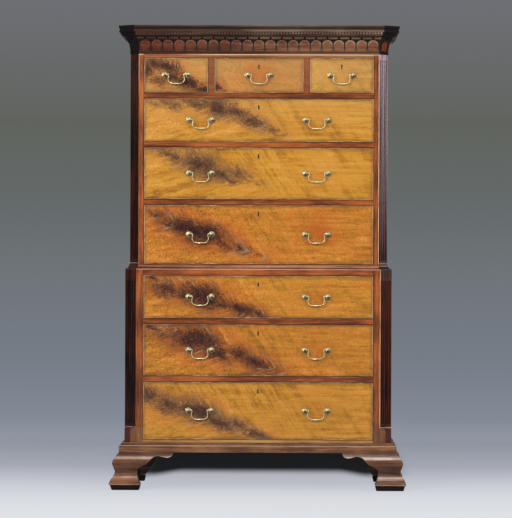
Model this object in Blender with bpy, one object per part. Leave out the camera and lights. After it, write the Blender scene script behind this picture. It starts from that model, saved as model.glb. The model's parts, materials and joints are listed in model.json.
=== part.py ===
"""Tallboy: a mahogany chest of drawers standing on a wider chest of drawers.

Metres, +Z up. The drawers open towards -Y, the floor is Z = 0, and the origin is
under the middle of the whole piece.
"""
import math
from collections import namedtuple

import bmesh
import bpy
from mathutils import Matrix, Vector

# Clearances
GAP = 0.0003                # glued or resting faces
FRONT_CLEARANCE = 0.0010    # around a drawer front in its opening
TOP_CLEARANCE = 0.0040      # above a drawer side
PIN_CLEARANCE = 0.0003      # around a bail pin in its post
CUT_MARGIN = 0.0100         # a cutter runs this far past what it cuts

# The two cases in plan
CASE_WIDTH = 1.062          # lower case over its sides
CASE_DEPTH = 0.545          # lower case, front to back
CORNER_CANT = 0.046         # lower canted corner, along each wall
STILE_WIDTH = 0.0275        # lower stile, from its cant to the drawers
SETBACK = 0.0185            # upper case behind the lower one, front and sides
SIDE_THICKNESS = 0.018
BACK_THICKNESS = 0.010
POST_RETURN = 0.009         # post behind its cant
RAIL_LAP = 0.005            # rail behind its posts
BOARD_THICKNESS = 0.012     # dust board behind its rail
BOTTOM_BOARD_THICKNESS = 0.018

# Heights, from the floor up
FOOT_HEIGHT = 0.1487
BASE_RAIL = 0.0495
LOWER_OPENINGS = (0.231, 0.207, 0.172)
LOWER_RAIL = 0.022
LOWER_TOP_RAIL = 0.022
UPPER_BOTTOM_BOARD = 0.021
UPPER_OPENINGS = (0.237, 0.209, 0.175, 0.141)
UPPER_RAIL = 0.020
UPPER_TOP_RAIL = 0.014

# Short drawers
MIDDLE_DRAWER_WIDTH = 0.357
DIVIDER_WIDTH = 0.022

# Drawers
FRONT_THICKNESS = 0.022
BEAD_WIDTH = 0.0036
BEAD_PROUD = 0.0018
BEAD_EASE = 0.0012          # rounding on the outer edge of the bead
BOX_SIDE = 0.011
BOX_BACK = 0.010
BOX_BOTTOM = 0.008
BOTTOM_RAISE = 0.008
BACK_DROP = 0.008
DRAWER_BACK_SPACE = 0.022
GUIDE_HEIGHT = 0.020
STOP_SIZE = (0.040, 0.012, 0.005)
STOP_INSET = 0.110          # stop from the end of its opening
TAIL_LAP = 0.007            # of the front, over the ends of the dovetails
TAIL_PITCH = 0.062
TAIL_ROOT = 0.036
TAIL_SLOPE = 0.14

# Locks
LOCK_SIZE = (0.056, 0.0016, 0.040)
KEYHOLE_DROP = 0.034        # centre below the top of its opening
KEYHOLE_RADIUS = 0.0024
KEYHOLE_SLOT = 0.0012       # half width of the slot under the round
KEYHOLE_FOOT = 0.0015       # the same at its foot
KEYHOLE_LENGTH = 0.0085
KEYHOLE_ARC = (-40, 220)    # degrees that the round part takes
KEYHOLE_ARC_POINTS = 5
LINER_WIDTH = 0.0015
LINER_PROUD = 0.0006
LINER_DEPTH = 0.0040

# Handles
HANDLE_OFFSET = 0.231       # handle centres on a long drawer, from its middle
POST_SPACING = 0.0915
ROSETTE_RADIUS = 0.0120
ROSETTE_CROWN = 0.0045
ROSETTE_SINK = 0.0020
ROSETTE_SIDES = 8
POST_RADIUS = 0.0042
POST_TIP = 0.0046
PIVOT_STANDOFF = 0.0150
PIN_RADIUS = 0.0016
PIN_LENGTH = 0.0050
PIN_SHOULDER = 0.0008       # straight pin outside its post
NECK_RADIUS = 0.0019
WAIST_RADIUS = 0.0028       # bail where the grip begins
GRIP_RADIUS = 0.0046
BAIL_DROP = 0.0345
BAIL_SIDES = 5

# Canted corners
FLUTE_RADIUS = 0.0040
FLUTE_END_RADIUS = 0.0006
FLUTE_PITCH = 0.0112
FLUTE_EDGE = 0.0062         # least distance from a flute's middle to the arris
FLUTE_SIDES = 6
FLUTE_RUNOUT = 0.008
UPPER_FLUTE_TOP = 0.023     # flutes below the top of the upper case
UPPER_FLUTE_FOOT = 0.032    # and above its foot
LOWER_FLUTE_TOP = 0.0403    # flutes below the top of the lower case
LOWER_FLUTE_FOOT = 0.005    # and above the plinth block
PLINTH_CANT = 0.024
PLINTH_HEIGHT = 0.090       # top of the plinth block above the foot
PLINTH_CHAMFER = 0.007
PLINTH_LEDGE = 0.002        # fall of the ledge below the plinth block
CORNER_EASE = 0.002

# Feet
FOOT_REACH = 0.0585         # ridge of a foot beyond the wall of the case
FOOT_WING = 0.1945          # tip of a bracket, inward from the corner
FOOT_ANKLE = 0.0520         # bracket at its narrowest, inward from the corner
FOOT_INSET = 0.024          # back of a bracket, inside the wall of the case
PAD_HEIGHT = 0.0200
PAD_STEP = 0.0050           # top of the pad, behind the ridge
PAD_TAPER = 0.0064          # further back at the floor
RIDGE_EDGE = 0.0010         # rounding below the ridge
RIDGE_HEIGHT = 0.0060
REAR_BRACKET_THICKNESS = 0.020
REAR_BRACKET_LENGTH = 0.120
REAR_BRACKET_FOOT = 0.012   # plain bracket across the floor, inside the side bracket
REAR_BRACKET_TIP = 0.0367   # height of the plain bracket at its tip

# Cornice and frieze
FRAME_THICKNESS = 0.022
COVER_THICKNESS = 0.008
COVER_DROP = 0.008          # cover below the rim of the cornice
COVER_REBATE = 0.004
DENTIL_WIDTH = 0.0072
DENTIL_SPACE = 0.0045
DENTIL_PROUD = 0.0050
DENTIL_HEIGHT = 0.0080
DENTIL_ROOT = 0.0025        # dentils into the face behind them
DENTIL_BITE = 0.0004        # dentils into the member above them
TAB_WIDTH = 0.0400
TAB_SPACE = 0.0053
TAB_PROUD = 0.0025
TAB_BASE = 0.0200           # tab foot above the bottom of the frieze
TAB_CROWN = 0.0040          # tab crown below the top of the frieze
TAB_RISE = 0.0175           # of the arch, over its straight sides
TAB_ARCH = (45, 80)         # degrees up the arch

# Mouldings, from the foot up, as (rise, step out from the wall)
BASE_STEP = 0.0205
BASE_MOULDING_PROFILE = (
    (0.0, BASE_STEP), (0.0228, BASE_STEP), (0.0040, 0.0190), (0.0020, 0.0150),
    (0.0022, 0.0095), (0.0035, 0.0060), (0.0040, 0.0045))
FRIEZE_PROFILE = (
    (0.0, 0.0030), (0.0050, 0.0030), (0.0020, 0.0005), (0.0130, 0.0005),
    (0.0150, 0.0027), (0.0135, 0.0085), (0.0075, 0.0150), (0.0035, 0.0165))
CORNICE_FOOT_PROFILE = (
    (0.0, 0.0180), (0.0070, 0.0180), (0.0010, 0.0250), (0.0025, 0.0290),
    (0.0030, 0.0340), (0.0040, 0.0340), (0.0005, 0.0360), (0.0086, 0.0360))
CORNICE_TOP_PROFILE = (
    (0.0004, 0.0450), (0.0080, 0.0450), (0.0035, 0.0430), (0.0055, 0.0440),
    (0.0025, 0.0470), (0.0066, 0.0470))

# The cove round the foot of the upper case, as (rise, share of the ledge that it covers)
WAIST_LIP = 0.0025          # wood left behind the top of the cove
WAIST_COVE = ((0.0, 0.0), (0.0030, 0.0), (0.0030, 0.19), (0.0025, 0.53),
              (0.0045, 0.81), (0.0050, 0.94), (0.0030, 1.0))

# The ogee of a foot under the base moulding, as (share of its height over the ridge, share of its reach)
FOOT_OGEE = ((0.0, 1.0), (0.11, 0.885), (0.24, 0.70), (0.36, 0.60), (0.52, 0.70), (0.66, 0.785), (0.80, 0.66))
# The cut under a bracket, as (share of the way from ankle to tip, share of the foot's height)
FOOT_SCROLL = (
    (1.0, 0.96), (0.96, 0.895), (0.86, 0.863), (0.75, 0.877), (0.62, 0.905),
    (0.505, 0.895), (0.405, 0.84), (0.335, 0.755), (0.25, 0.685), (0.11, 0.62),
    (0.02, 0.545), (0.0, 0.465), (0.015, 0.35), (0.05, 0.24), (0.09, 0.18),
    (0.09, 0.135), (0.065, 0.0))

# Half of a bail, as (share of half the post spacing, share of its drop, radius)
BAIL_COURSE = (
    (0.0, 1.0, GRIP_RADIUS), (0.29, 0.985, WAIST_RADIUS), (0.56, 0.875, NECK_RADIUS),
    (0.70, 0.60, NECK_RADIUS), (0.67, 0.22, NECK_RADIUS), (0.667, -0.043, NECK_RADIUS),
    (0.765, -0.072, PIN_RADIUS))

# Derived sizes
POST_DEPTH = CORNER_CANT + POST_RETURN
RAIL_DEPTH = POST_DEPTH + RAIL_LAP
OPENING_HALF = CASE_WIDTH / 2 - CORNER_CANT - STILE_WIDTH
TAIL_LENGTH = FRONT_THICKNESS - TAIL_LAP
CORNICE_PROFILE = CORNICE_FOOT_PROFILE + CORNICE_TOP_PROFILE
FRIEZE_HEIGHT = sum(rise for rise, _ in FRIEZE_PROFILE)
CORNICE_HEIGHT = sum(rise for rise, _ in CORNICE_PROFILE)
CANT_GROWTH = 2 - math.sqrt(2)      # of a canted corner, for each step out

# Derived places
DEPTH_OVERALL = CASE_DEPTH + FOOT_REACH
BACK_Y = DEPTH_OVERALL / 2
LOWER_FRONT_Y = BACK_Y - CASE_DEPTH
LOWER_FLOOR = FOOT_HEIGHT + BASE_RAIL
LOWER_TOP = LOWER_FLOOR + sum(LOWER_OPENINGS) + LOWER_RAIL * 2 + LOWER_TOP_RAIL
UPPER_BASE = LOWER_TOP + 2 * GAP
UPPER_FLOOR = UPPER_BASE + UPPER_BOTTOM_BOARD
UPPER_TOP = UPPER_FLOOR + sum(UPPER_OPENINGS) + UPPER_RAIL * 3 + UPPER_TOP_RAIL
FRIEZE_BASE = UPPER_TOP + GAP
CORNICE_BASE = FRIEZE_BASE + FRIEZE_HEIGHT + GAP

Case = namedtuple("Case", "front half cant base top")
LOWER = Case(LOWER_FRONT_Y, CASE_WIDTH / 2, CORNER_CANT, FOOT_HEIGHT, LOWER_TOP - GAP)
UPPER = Case(LOWER_FRONT_Y + SETBACK, CASE_WIDTH / 2 - SETBACK,
             CORNER_CANT - SETBACK * CANT_GROWTH, UPPER_BASE, UPPER_TOP)
Drawer = namedtuple("Drawer", "name case centre width floor height handles")

# Colour, roughness and metallic value of each finish
MATERIALS = {
    "mahogany": ((0.36, 0.15, 0.06), 0.35, 0.0),
    "figured_mahogany": ((0.48, 0.22, 0.08), 0.30, 0.0),
    "dark_mahogany": ((0.12, 0.05, 0.03), 0.35, 0.0),
    "oak": ((0.48, 0.34, 0.20), 0.60, 0.0),
    "pine": ((0.42, 0.30, 0.18), 0.70, 0.0),
    "brass": ((0.80, 0.62, 0.30), 0.28, 1.0),
}
SMOOTH_ANGLE = 32           # degrees between facets that shade as one


def clear_scene():
    for item in list(bpy.data.objects):
        bpy.data.objects.remove(item)


def finish(name):
    """The named material, made on first use."""
    known = bpy.data.materials.get(name)
    if known:
        return known
    colour, roughness, metallic = MATERIALS[name]
    made = bpy.data.materials.new(name)
    made.use_nodes = True
    shader = made.node_tree.nodes["Principled BSDF"]
    shader.inputs["Base Color"].default_value = (*colour, 1.0)
    shader.inputs["Roughness"].default_value = roughness
    shader.inputs["Metallic"].default_value = metallic
    made.diffuse_color = (*colour, 1.0)
    return made


# Solids

def solid(name, maker, *finishes, slot=0):
    """An object from a bmesh, with the finishes in its slots and its faces in one of them."""
    bmesh.ops.recalc_face_normals(maker, faces=maker.faces)
    mesh = bpy.data.meshes.new(name)
    maker.to_mesh(mesh)
    maker.free()
    for item in finishes:
        mesh.materials.append(finish(item))
    for face in mesh.polygons:
        face.material_index = slot
    made = bpy.data.objects.new(name, mesh)
    bpy.context.scene.collection.objects.link(made)
    return made


def skin(rings, closed=False):
    """Faces between rings of equal count, with end caps unless the rings close on themselves."""
    maker = bmesh.new()
    layers = [[maker.verts.new(point) for point in ring] for ring in rings]
    pairs = list(zip(layers, layers[1:]))
    if closed:
        pairs.append((layers[-1], layers[0]))
    else:
        maker.faces.new(layers[0])
        maker.faces.new(layers[-1])
    for low, high in pairs:
        for i, corner in enumerate(low):
            j = (i + 1) % len(low)
            maker.faces.new((corner, low[j], high[j], high[i]))
    return maker


def block(x, y, z):
    """A box from three (low, high) pairs."""
    outline = ((x[0], y[0]), (x[1], y[0]), (x[1], y[1]), (x[0], y[1]))
    return prism_z(outline, z)


def prism_x(outline, x):
    return skin([[(level, a, b) for a, b in outline] for level in x])


def prism_y(outline, y):
    return skin([[(a, level, b) for a, b in outline] for level in y])


def prism_z(outline, z):
    return skin([[(a, b, level) for a, b in outline] for level in z])


def circle(radius, sides, phase=0.0):
    """(across, up) points round a circle; a phase of a half turns flats to where corners were."""
    for k in range(sides):
        turn = 2 * math.pi * (k + phase) / sides
        yield radius * math.cos(turn), radius * math.sin(turn)


def gathered(makers):
    """Several closed shapes in one bmesh."""
    together = bmesh.new()
    for maker in makers:
        bmesh.ops.recalc_face_normals(maker, faces=maker.faces)
        mesh = bpy.data.meshes.new("shape")
        maker.to_mesh(mesh)
        maker.free()
        together.from_mesh(mesh)
        bpy.data.meshes.remove(mesh)
    return together


def mirrored(maker):
    """The same shape on the other side of the middle plane."""
    bmesh.ops.transform(maker, matrix=Matrix.Scale(-1, 4, Vector((1, 0, 0))), verts=maker.verts)
    return maker


def combine(target, operation, tools):
    """Union with, or cut by, each tool in turn; the tools are used up."""
    for tool in tools:
        step = target.modifiers.new(operation.lower(), "BOOLEAN")
        step.operation = operation
        step.object = tool
        bpy.context.view_layer.update()
        evaluated = target.evaluated_get(bpy.context.evaluated_depsgraph_get())
        shaped = bpy.data.meshes.new_from_object(evaluated)
        target.modifiers.remove(step)
        target.data = shaped
        bpy.data.objects.remove(tool)
    return target


def fuse(target, *tools):
    return combine(target, "UNION", tools)


def cut(target, *tools):
    return combine(target, "DIFFERENCE", tools)


def curve_through(points, steps):
    """Points along a smooth curve that passes through the given ones."""
    ends = [points[0], *points, points[-1]]
    course = []
    for before, start, end, after in zip(ends, ends[1:], ends[2:], ends[3:]):
        for k in range(steps):
            t = k / steps
            course.append(tuple(
                (2 * b + (c - a) * t + (2 * a - 5 * b + 4 * c - d) * t ** 2
                 + (3 * b - a - 3 * c + d) * t ** 3) / 2
                for a, b, c, d in zip(before, start, end, after)))
    course.append(tuple(points[-1]))
    return course


# Mouldings

def stacked(profile):
    """(step out, height) points of a moulding that is given by its rises."""
    height = 0.0
    points = []
    for rise, out in profile:
        height += rise
        points.append((out, height))
    return points


def plan(offset, case=LOWER, back=0.0):
    """Six plan points round a case with canted corners, stepped out by offset."""
    half = case.half + offset
    front = case.front - offset
    leg = case.cant + offset * CANT_GROWTH
    rear = BACK_Y - back
    return ((-half, rear), (-half, front + leg), (-half + leg, front),
            (half - leg, front), (half, front + leg), (half, rear))


def square_plan(offset):
    half = LOWER.half + offset
    front = LOWER.front - offset
    return (-half, BACK_Y), (-half, front), (half, front), (half, BACK_Y)


def three_sided(points, base, plan_of):
    """A moulding round the front and sides, open at the back."""
    stations = len(plan_of(0.0))
    return skin([[(*plan_of(offset)[k], base + height) for offset, height in points]
                 for k in range(stations)])


def frame(points, base, case):
    """A closed frame: the moulding outside, plain inside, with a plain rail at the back."""
    rings = [[(*point, base + height) for point in plan(offset, case)]
             for offset, height in points]
    inner = plan(-FRAME_THICKNESS, case, FRAME_THICKNESS)
    for height in (points[-1][1], points[0][1]):
        rings.append([(*point, base + height) for point in inner])
    return skin(rings, closed=True)


def runs(offset, case):
    """Start, direction, outward normal and length of the five faces of a case front and sides."""
    points = [Vector(point) for point in plan(offset, case)]
    for start, end in zip(points, points[1:]):
        along = (end - start).normalized()
        yield start, along, Vector((along.y, -along.x)), (end - start).length


def spaced(length, pitch, width):
    """Centres of as many equal parts as fit the length, evenly about its middle."""
    count = int((length - width) / pitch) + 1
    return [length / 2 + (k - (count - 1) / 2) * pitch for k in range(count)]


def build_cornice():
    made = solid("cornice", frame(stacked(CORNICE_PROFILE), CORNICE_BASE, UPPER), "mahogany")
    cover_top = CORNICE_BASE + CORNICE_HEIGHT - COVER_DROP
    edge = FRAME_THICKNESS - COVER_REBATE
    cover = prism_z(plan(-edge, UPPER, edge), (cover_top - COVER_THICKNESS, cover_top))

    ground, soffit = stacked(CORNICE_FOOT_PROFILE)[-1]
    teeth = []
    for start, along, outward, length in runs(ground, UPPER):
        for centre in spaced(length, DENTIL_WIDTH + DENTIL_SPACE, DENTIL_WIDTH):
            for side, step in ((-1, -DENTIL_ROOT), (-1, DENTIL_PROUD),
                               (1, DENTIL_PROUD), (1, -DENTIL_ROOT)):
                teeth.append(start + along * (centre + side * DENTIL_WIDTH / 2) + outward * step)
    spine = [Vector(point) for point in plan(-FRAME_THICKNESS / 2, UPPER)]
    high = CORNICE_BASE + soffit
    comb = prism_z([tuple(point) for point in teeth + spine[::-1]],
                   (high - DENTIL_HEIGHT, high + DENTIL_BITE))
    return fuse(made, solid("cover", cover, "mahogany"), solid("dentils", comb, "mahogany"))


def frieze_step(height):
    """How far the frieze stands out at a height above its foot."""
    points = stacked(FRIEZE_PROFILE)
    for (low_out, low), (high_out, high) in zip(points, points[1:]):
        if low <= height <= high:
            return low_out + (high_out - low_out) * (height - low) / (high - low)
    return points[-1][0]


def build_frieze():
    made = solid("frieze", frame(stacked(FRIEZE_PROFILE), FRIEZE_BASE, UPPER), "dark_mahogany")
    spring = FRIEZE_HEIGHT - TAB_CROWN - TAB_RISE
    rows = [(TAB_BASE, TAB_WIDTH / 2), (spring, TAB_WIDTH / 2)]
    for degrees in TAB_ARCH:
        turn = math.radians(degrees)
        rows.append((spring + TAB_RISE * math.sin(turn), TAB_WIDTH / 2 * math.cos(turn)))
    tabs = []
    for start, along, outward, length in runs(0.0, UPPER):
        for centre in spaced(length, TAB_WIDTH + TAB_SPACE, TAB_WIDTH):
            rings = []
            for height, half in rows:
                ring = []
                for side, step in ((-1, -TAB_PROUD), (-1, TAB_PROUD),
                                   (1, TAB_PROUD), (1, -TAB_PROUD)):
                    spot = start + along * (centre + side * half)
                    spot += outward * (frieze_step(height) + step)
                    ring.append((*spot, FRIEZE_BASE + height))
                rings.append(ring)
            tabs.append(skin(rings))
    return fuse(made, solid("tabs", gathered(tabs), "dark_mahogany"))


def build_base_moulding():
    points = stacked(BASE_MOULDING_PROFILE)
    points += [(GAP, points[-1][1]), (GAP, 0.0)]
    return solid("base_moulding", three_sided(points, FOOT_HEIGHT, square_plan), "mahogany")


# The cases

def plinth_levels():
    """Heights of the ledge and of the top of the plinth block on a lower post."""
    return FOOT_HEIGHT + stacked(BASE_MOULDING_PROFILE)[-1][1], FOOT_HEIGHT + PLINTH_HEIGHT


def build_post(case, name, side):
    """A corner post: stile, canted face with stopped flutes, and on the lower case a plinth block."""
    front, half = case.front, case.half
    rear = front + POST_DEPTH

    def ring(leg, level):
        return [(OPENING_HALF, front, level), (half - leg, front, level),
                (half, front + leg, level), (half, rear, level), (OPENING_HALF, rear, level)]

    if case is LOWER:
        ledge, block_top = plinth_levels()
        shoulder = block_top + PLINTH_CHAMFER
        levels = [ring(CORNER_EASE, case.base), ring(CORNER_EASE, ledge),
                  ring(PLINTH_CANT, ledge + PLINTH_LEDGE), ring(PLINTH_CANT, block_top),
                  ring(case.cant, shoulder), ring(case.cant, case.top)]
        foot, head = shoulder + LOWER_FLUTE_FOOT, case.top - LOWER_FLUTE_TOP
    else:
        levels = [ring(case.cant, case.base), ring(case.cant, case.top)]
        foot, head = case.base + UPPER_FLUTE_FOOT, case.top - UPPER_FLUTE_TOP

    start = Vector((half - case.cant, front, 0.0))
    along = Vector((1.0, 1.0, 0.0)).normalized()
    outward = Vector((1.0, -1.0, 0.0)).normalized()
    grooves = []
    for place in spaced(case.cant * math.sqrt(2), FLUTE_PITCH, 2 * FLUTE_EDGE):
        rings = []
        for level, radius in ((foot, FLUTE_END_RADIUS), (foot + FLUTE_RUNOUT, FLUTE_RADIUS),
                              (head - FLUTE_RUNOUT, FLUTE_RADIUS), (head, FLUTE_END_RADIUS)):
            centre = start + along * place + Vector((0.0, 0.0, level))
            rings.append([centre + along * a + outward * b
                          for a, b in circle(radius, FLUTE_SIDES, 0.5)])
        grooves.append(skin(rings))
    shapes = [skin(levels), gathered(grooves)]
    if side < 0:
        shapes = [mirrored(shape) for shape in shapes]
    return cut(solid(name, shapes[0], "dark_mahogany"), solid("flutes", shapes[1], "dark_mahogany"))


def inner_half(case):
    return case.half - SIDE_THICKNESS - GAP


def inner_back():
    return BACK_Y - BACK_THICKNESS - GAP


def build_side(case, name, side):
    x = sorted((side * (case.half - SIDE_THICKNESS), side * case.half))
    y = (case.front + POST_DEPTH + GAP, BACK_Y)
    return solid(name, block(x, y, (case.base, case.top)), "mahogany")


def build_back(case, name):
    half = inner_half(case)
    y = (BACK_Y - BACK_THICKNESS, BACK_Y)
    return solid(name, block((-half, half), y, (case.base, case.top)), "pine")


def rail_block(case, bottom, top):
    half = OPENING_HALF - GAP
    return block((-half, half), (case.front, case.front + RAIL_DEPTH), (bottom, top))


def build_shelf(case, name, bottom, top, board, stops):
    """A rail with its dust board behind it, drawer guides at both ends, and drawer stops."""
    made = solid(name, rail_block(case, bottom, top), "mahogany", "oak")
    half = inner_half(case)
    section = ((-half, top - board), (half, top - board), (half, top + GUIDE_HEIGHT),
               (OPENING_HALF, top + GUIDE_HEIGHT), (OPENING_HALF, top),
               (-OPENING_HALF, top), (-OPENING_HALF, top + GUIDE_HEIGHT),
               (-half, top + GUIDE_HEIGHT))
    tray = prism_y(section, (case.front + POST_DEPTH + GAP, inner_back()))
    tools = [solid("tray", tray, "mahogany", "oak", slot=1)]
    width, depth, height = STOP_SIZE
    start = case.front + FRONT_THICKNESS + GAP
    for centre in stops:
        stop = block((centre - width / 2, centre + width / 2), (start, start + depth),
                     (top - height, top + height))
        tools.append(solid("stop", stop, "mahogany", "oak", slot=1))
    return fuse(made, *tools)


def build_upper_top_rail():
    """The rail over the short drawers, with the two dividers and their guide strips."""
    floor = UPPER_TOP - UPPER_TOP_RAIL - UPPER_OPENINGS[-1]
    made = solid("upper_top_rail", rail_block(UPPER, UPPER_TOP - UPPER_TOP_RAIL, UPPER_TOP),
                 "mahogany", "oak")
    inner = MIDDLE_DRAWER_WIDTH / 2
    tools = []
    for side in (-1, 1):
        x = sorted((side * inner, side * (inner + DIVIDER_WIDTH)))
        upright = block(x, (UPPER.front, UPPER.front + RAIL_DEPTH - GAP),
                        (floor + GAP, UPPER_TOP - UPPER_TOP_RAIL / 2))
        strip = block((x[0] + GAP, x[1] - GAP), (UPPER.front + RAIL_DEPTH / 2, inner_back()),
                      (floor + GAP, floor + GUIDE_HEIGHT))
        tools.append(solid("divider", upright, "mahogany", "oak"))
        tools.append(solid("strip", strip, "mahogany", "oak", slot=1))
    return fuse(made, *tools)


def build_upper_top_board():
    half = inner_half(UPPER)
    y = (UPPER.front + RAIL_DEPTH + GAP, inner_back())
    board = block((-half, half), y, (UPPER_TOP - UPPER_TOP_RAIL, UPPER_TOP))
    return solid("upper_top_board", board, "pine")


def build_lower_top_board():
    """The top of the lower case, with the waist moulding that the upper case stands inside."""
    z = (LOWER_TOP - LOWER_TOP_RAIL, LOWER_TOP + GAP)
    made = solid("lower_top_board", rail_block(LOWER, *z), "mahogany", "pine")
    half = inner_half(LOWER)
    board = block((-half, half), (LOWER.front + POST_DEPTH + GAP, inner_back()), z)
    covered = SETBACK - WAIST_LIP
    points = [(-share * covered, height) for share, height in stacked(WAIST_COVE)]
    points += [(GAP - SETBACK, points[-1][1]), (GAP - SETBACK, 0.0)]
    moulding = three_sided(points, LOWER_TOP, plan)
    return fuse(made, solid("board", board, "mahogany", "pine", slot=1),
                solid("waist", moulding, "mahogany", "pine"))


# Feet

def foot_levels():
    """(height, step out) up a bracket foot: tapered pad, sharp ridge, then the ogee."""
    start = PAD_HEIGHT + RIDGE_EDGE + RIDGE_HEIGHT
    rise = FOOT_HEIGHT - start
    course = [(share, reach * FOOT_REACH) for share, reach in FOOT_OGEE] + [(1.0, BASE_STEP)]
    ogee = [(start + share * rise, out) for share, out in curve_through(course, 2)]
    return [(0.0, FOOT_REACH - PAD_STEP - PAD_TAPER), (PAD_HEIGHT, FOOT_REACH - PAD_STEP),
            (PAD_HEIGHT + RIDGE_EDGE, FOOT_REACH), *ogee[:-1], (FOOT_HEIGHT - GAP, ogee[-1][1])]


def scroll_void(place):
    """The waste under a bracket, as an outline; place turns a distance inward into a coordinate."""
    scroll = [(FOOT_ANKLE + along * (FOOT_WING - FOOT_ANKLE), up * FOOT_HEIGHT)
              for along, up in FOOT_SCROLL]
    past = FOOT_WING + CUT_MARGIN
    outline = [(scroll[-1][0], -CUT_MARGIN), *scroll[::-1], (past, scroll[0][1]), (past, -CUT_MARGIN)]
    return [(place(inward), height) for inward, height in outline]


def build_foot(name, side, at_front):
    """Two brackets meeting at the corner: ogee on the show faces, plain across the back."""
    half = LOWER.half
    wing = half - FOOT_WING
    inner = half - FOOT_INSET
    rear_tip = half - REAR_BRACKET_LENGTH
    rings = []
    for height, out in foot_levels():
        show = half + out
        if at_front:
            y = LOWER.front
            ring = [(show, y - out), (show, y + FOOT_WING), (inner, y + FOOT_WING),
                    (inner, y + FOOT_INSET), (wing, y + FOOT_INSET), (wing, y - out)]
        else:
            y = BACK_Y
            behind = y - REAR_BRACKET_THICKNESS
            ring = [(show, y), (show, y - FOOT_WING), (inner, y - FOOT_WING),
                    (inner, behind), (rear_tip, behind), (rear_tip, y)]
        rings.append([(a, b, height) for a, b in ring])

    x_span = (half - 2 * FOOT_INSET, half + FOOT_REACH + CUT_MARGIN)
    if at_front:
        side_void = prism_x(scroll_void(lambda inward: LOWER.front + inward), x_span)
        face_void = prism_y(scroll_void(lambda inward: half - inward),
                            (LOWER.front - FOOT_REACH - CUT_MARGIN, LOWER.front + 2 * FOOT_INSET))
    else:
        side_void = prism_x(scroll_void(lambda inward: BACK_Y - inward), x_span)
        past = rear_tip - CUT_MARGIN
        slope = ((inner - REAR_BRACKET_FOOT, -CUT_MARGIN), (past, FOOT_HEIGHT - REAR_BRACKET_TIP),
                 (past, -CUT_MARGIN))
        face_void = prism_y(slope, (BACK_Y - 2 * REAR_BRACKET_THICKNESS, BACK_Y + CUT_MARGIN))
    shapes = [skin(rings), side_void, face_void]
    if side < 0:
        shapes = [mirrored(shape) for shape in shapes]
    return cut(solid(name, shapes[0], "mahogany"), solid("side_void", shapes[1], "mahogany"),
               solid("face_void", shapes[2], "mahogany"))


# Drawers

def tail_centres(height):
    count = max(2, round(height / TAIL_PITCH))
    return [height * (k + 0.5) / count for k in range(count)]


def tail(centre, back, slack):
    """A dovetail as (y, z) points: narrow where it leaves the drawer side, wide at its end."""
    root = TAIL_ROOT / 2 + slack
    end = root + TAIL_LENGTH * TAIL_SLOPE
    tip = back - TAIL_LENGTH - slack
    return (back, centre - root), (tip, centre - end), (tip, centre + end), (back, centre + root)


def drawer_limits(drawer):
    half = drawer.width / 2 - FRONT_CLEARANCE
    return drawer.centre - half, drawer.centre + half


def box_levels(drawer):
    """Low and high edge of a drawer's sides."""
    return drawer.floor + GAP, drawer.floor + drawer.height - TOP_CLEARANCE


def keyhole_outline(x, z, grow):
    """A round with a slot that widens downwards, all grown by the given width."""
    radius = KEYHOLE_RADIUS + grow
    foot = KEYHOLE_FOOT + grow
    first, last = KEYHOLE_ARC
    points = []
    for k in range(KEYHOLE_ARC_POINTS):
        turn = math.radians(first + (last - first) * k / (KEYHOLE_ARC_POINTS - 1))
        points.append((x + radius * math.cos(turn), z + radius * math.sin(turn)))
    slot = KEYHOLE_SLOT + grow
    neck = z - radius
    end = z - KEYHOLE_LENGTH - grow
    return [*points, (x - slot, neck), (x - foot, end), (x + foot, end), (x + slot, neck)]


def handle_centres(drawer):
    if drawer.handles == 1:
        return [drawer.centre]
    return [drawer.centre - HANDLE_OFFSET, drawer.centre + HANDLE_OFFSET]


def turned(profile, sides, centre):
    """A shape of revolution about an axis along Y, from (radius, distance in front) points."""
    x, y, z = centre
    return skin([[(x + a, y - out, z + b) for a, b in circle(radius, sides, 0.5)]
                 for radius, out in profile])


def front_board(drawer):
    """The board of a drawer front, with a bead standing round its edge."""
    low, high = drawer_limits(drawer)
    bottom = drawer.floor + FRONT_CLEARANCE
    top = drawer.floor + drawer.height - FRONT_CLEARANCE
    face = drawer.case.front

    def ring(inset, y):
        return [(low + inset, y, bottom + inset), (high - inset, y, bottom + inset),
                (high - inset, y, top - inset), (low + inset, y, top - inset)]

    return skin([ring(0.0, face + FRONT_THICKNESS), ring(0.0, face - BEAD_PROUD + BEAD_EASE),
                 ring(BEAD_EASE, face - BEAD_PROUD), ring(BEAD_WIDTH, face)])


def bail_bore(post_x, side, face, middle):
    """The blind hole in the inner side of a post, in which a bail pin turns."""
    surface = post_x - side * POST_RADIUS
    x = sorted((surface - side * CUT_MARGIN, surface + side * (PIN_LENGTH + 2 * GAP)))
    radius = (PIN_RADIUS + PIN_CLEARANCE) / math.cos(math.pi / BAIL_SIDES)
    outline = [(face - PIVOT_STANDOFF + a, middle + b) for a, b in circle(radius, BAIL_SIDES)]
    return prism_x(outline, x)


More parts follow.
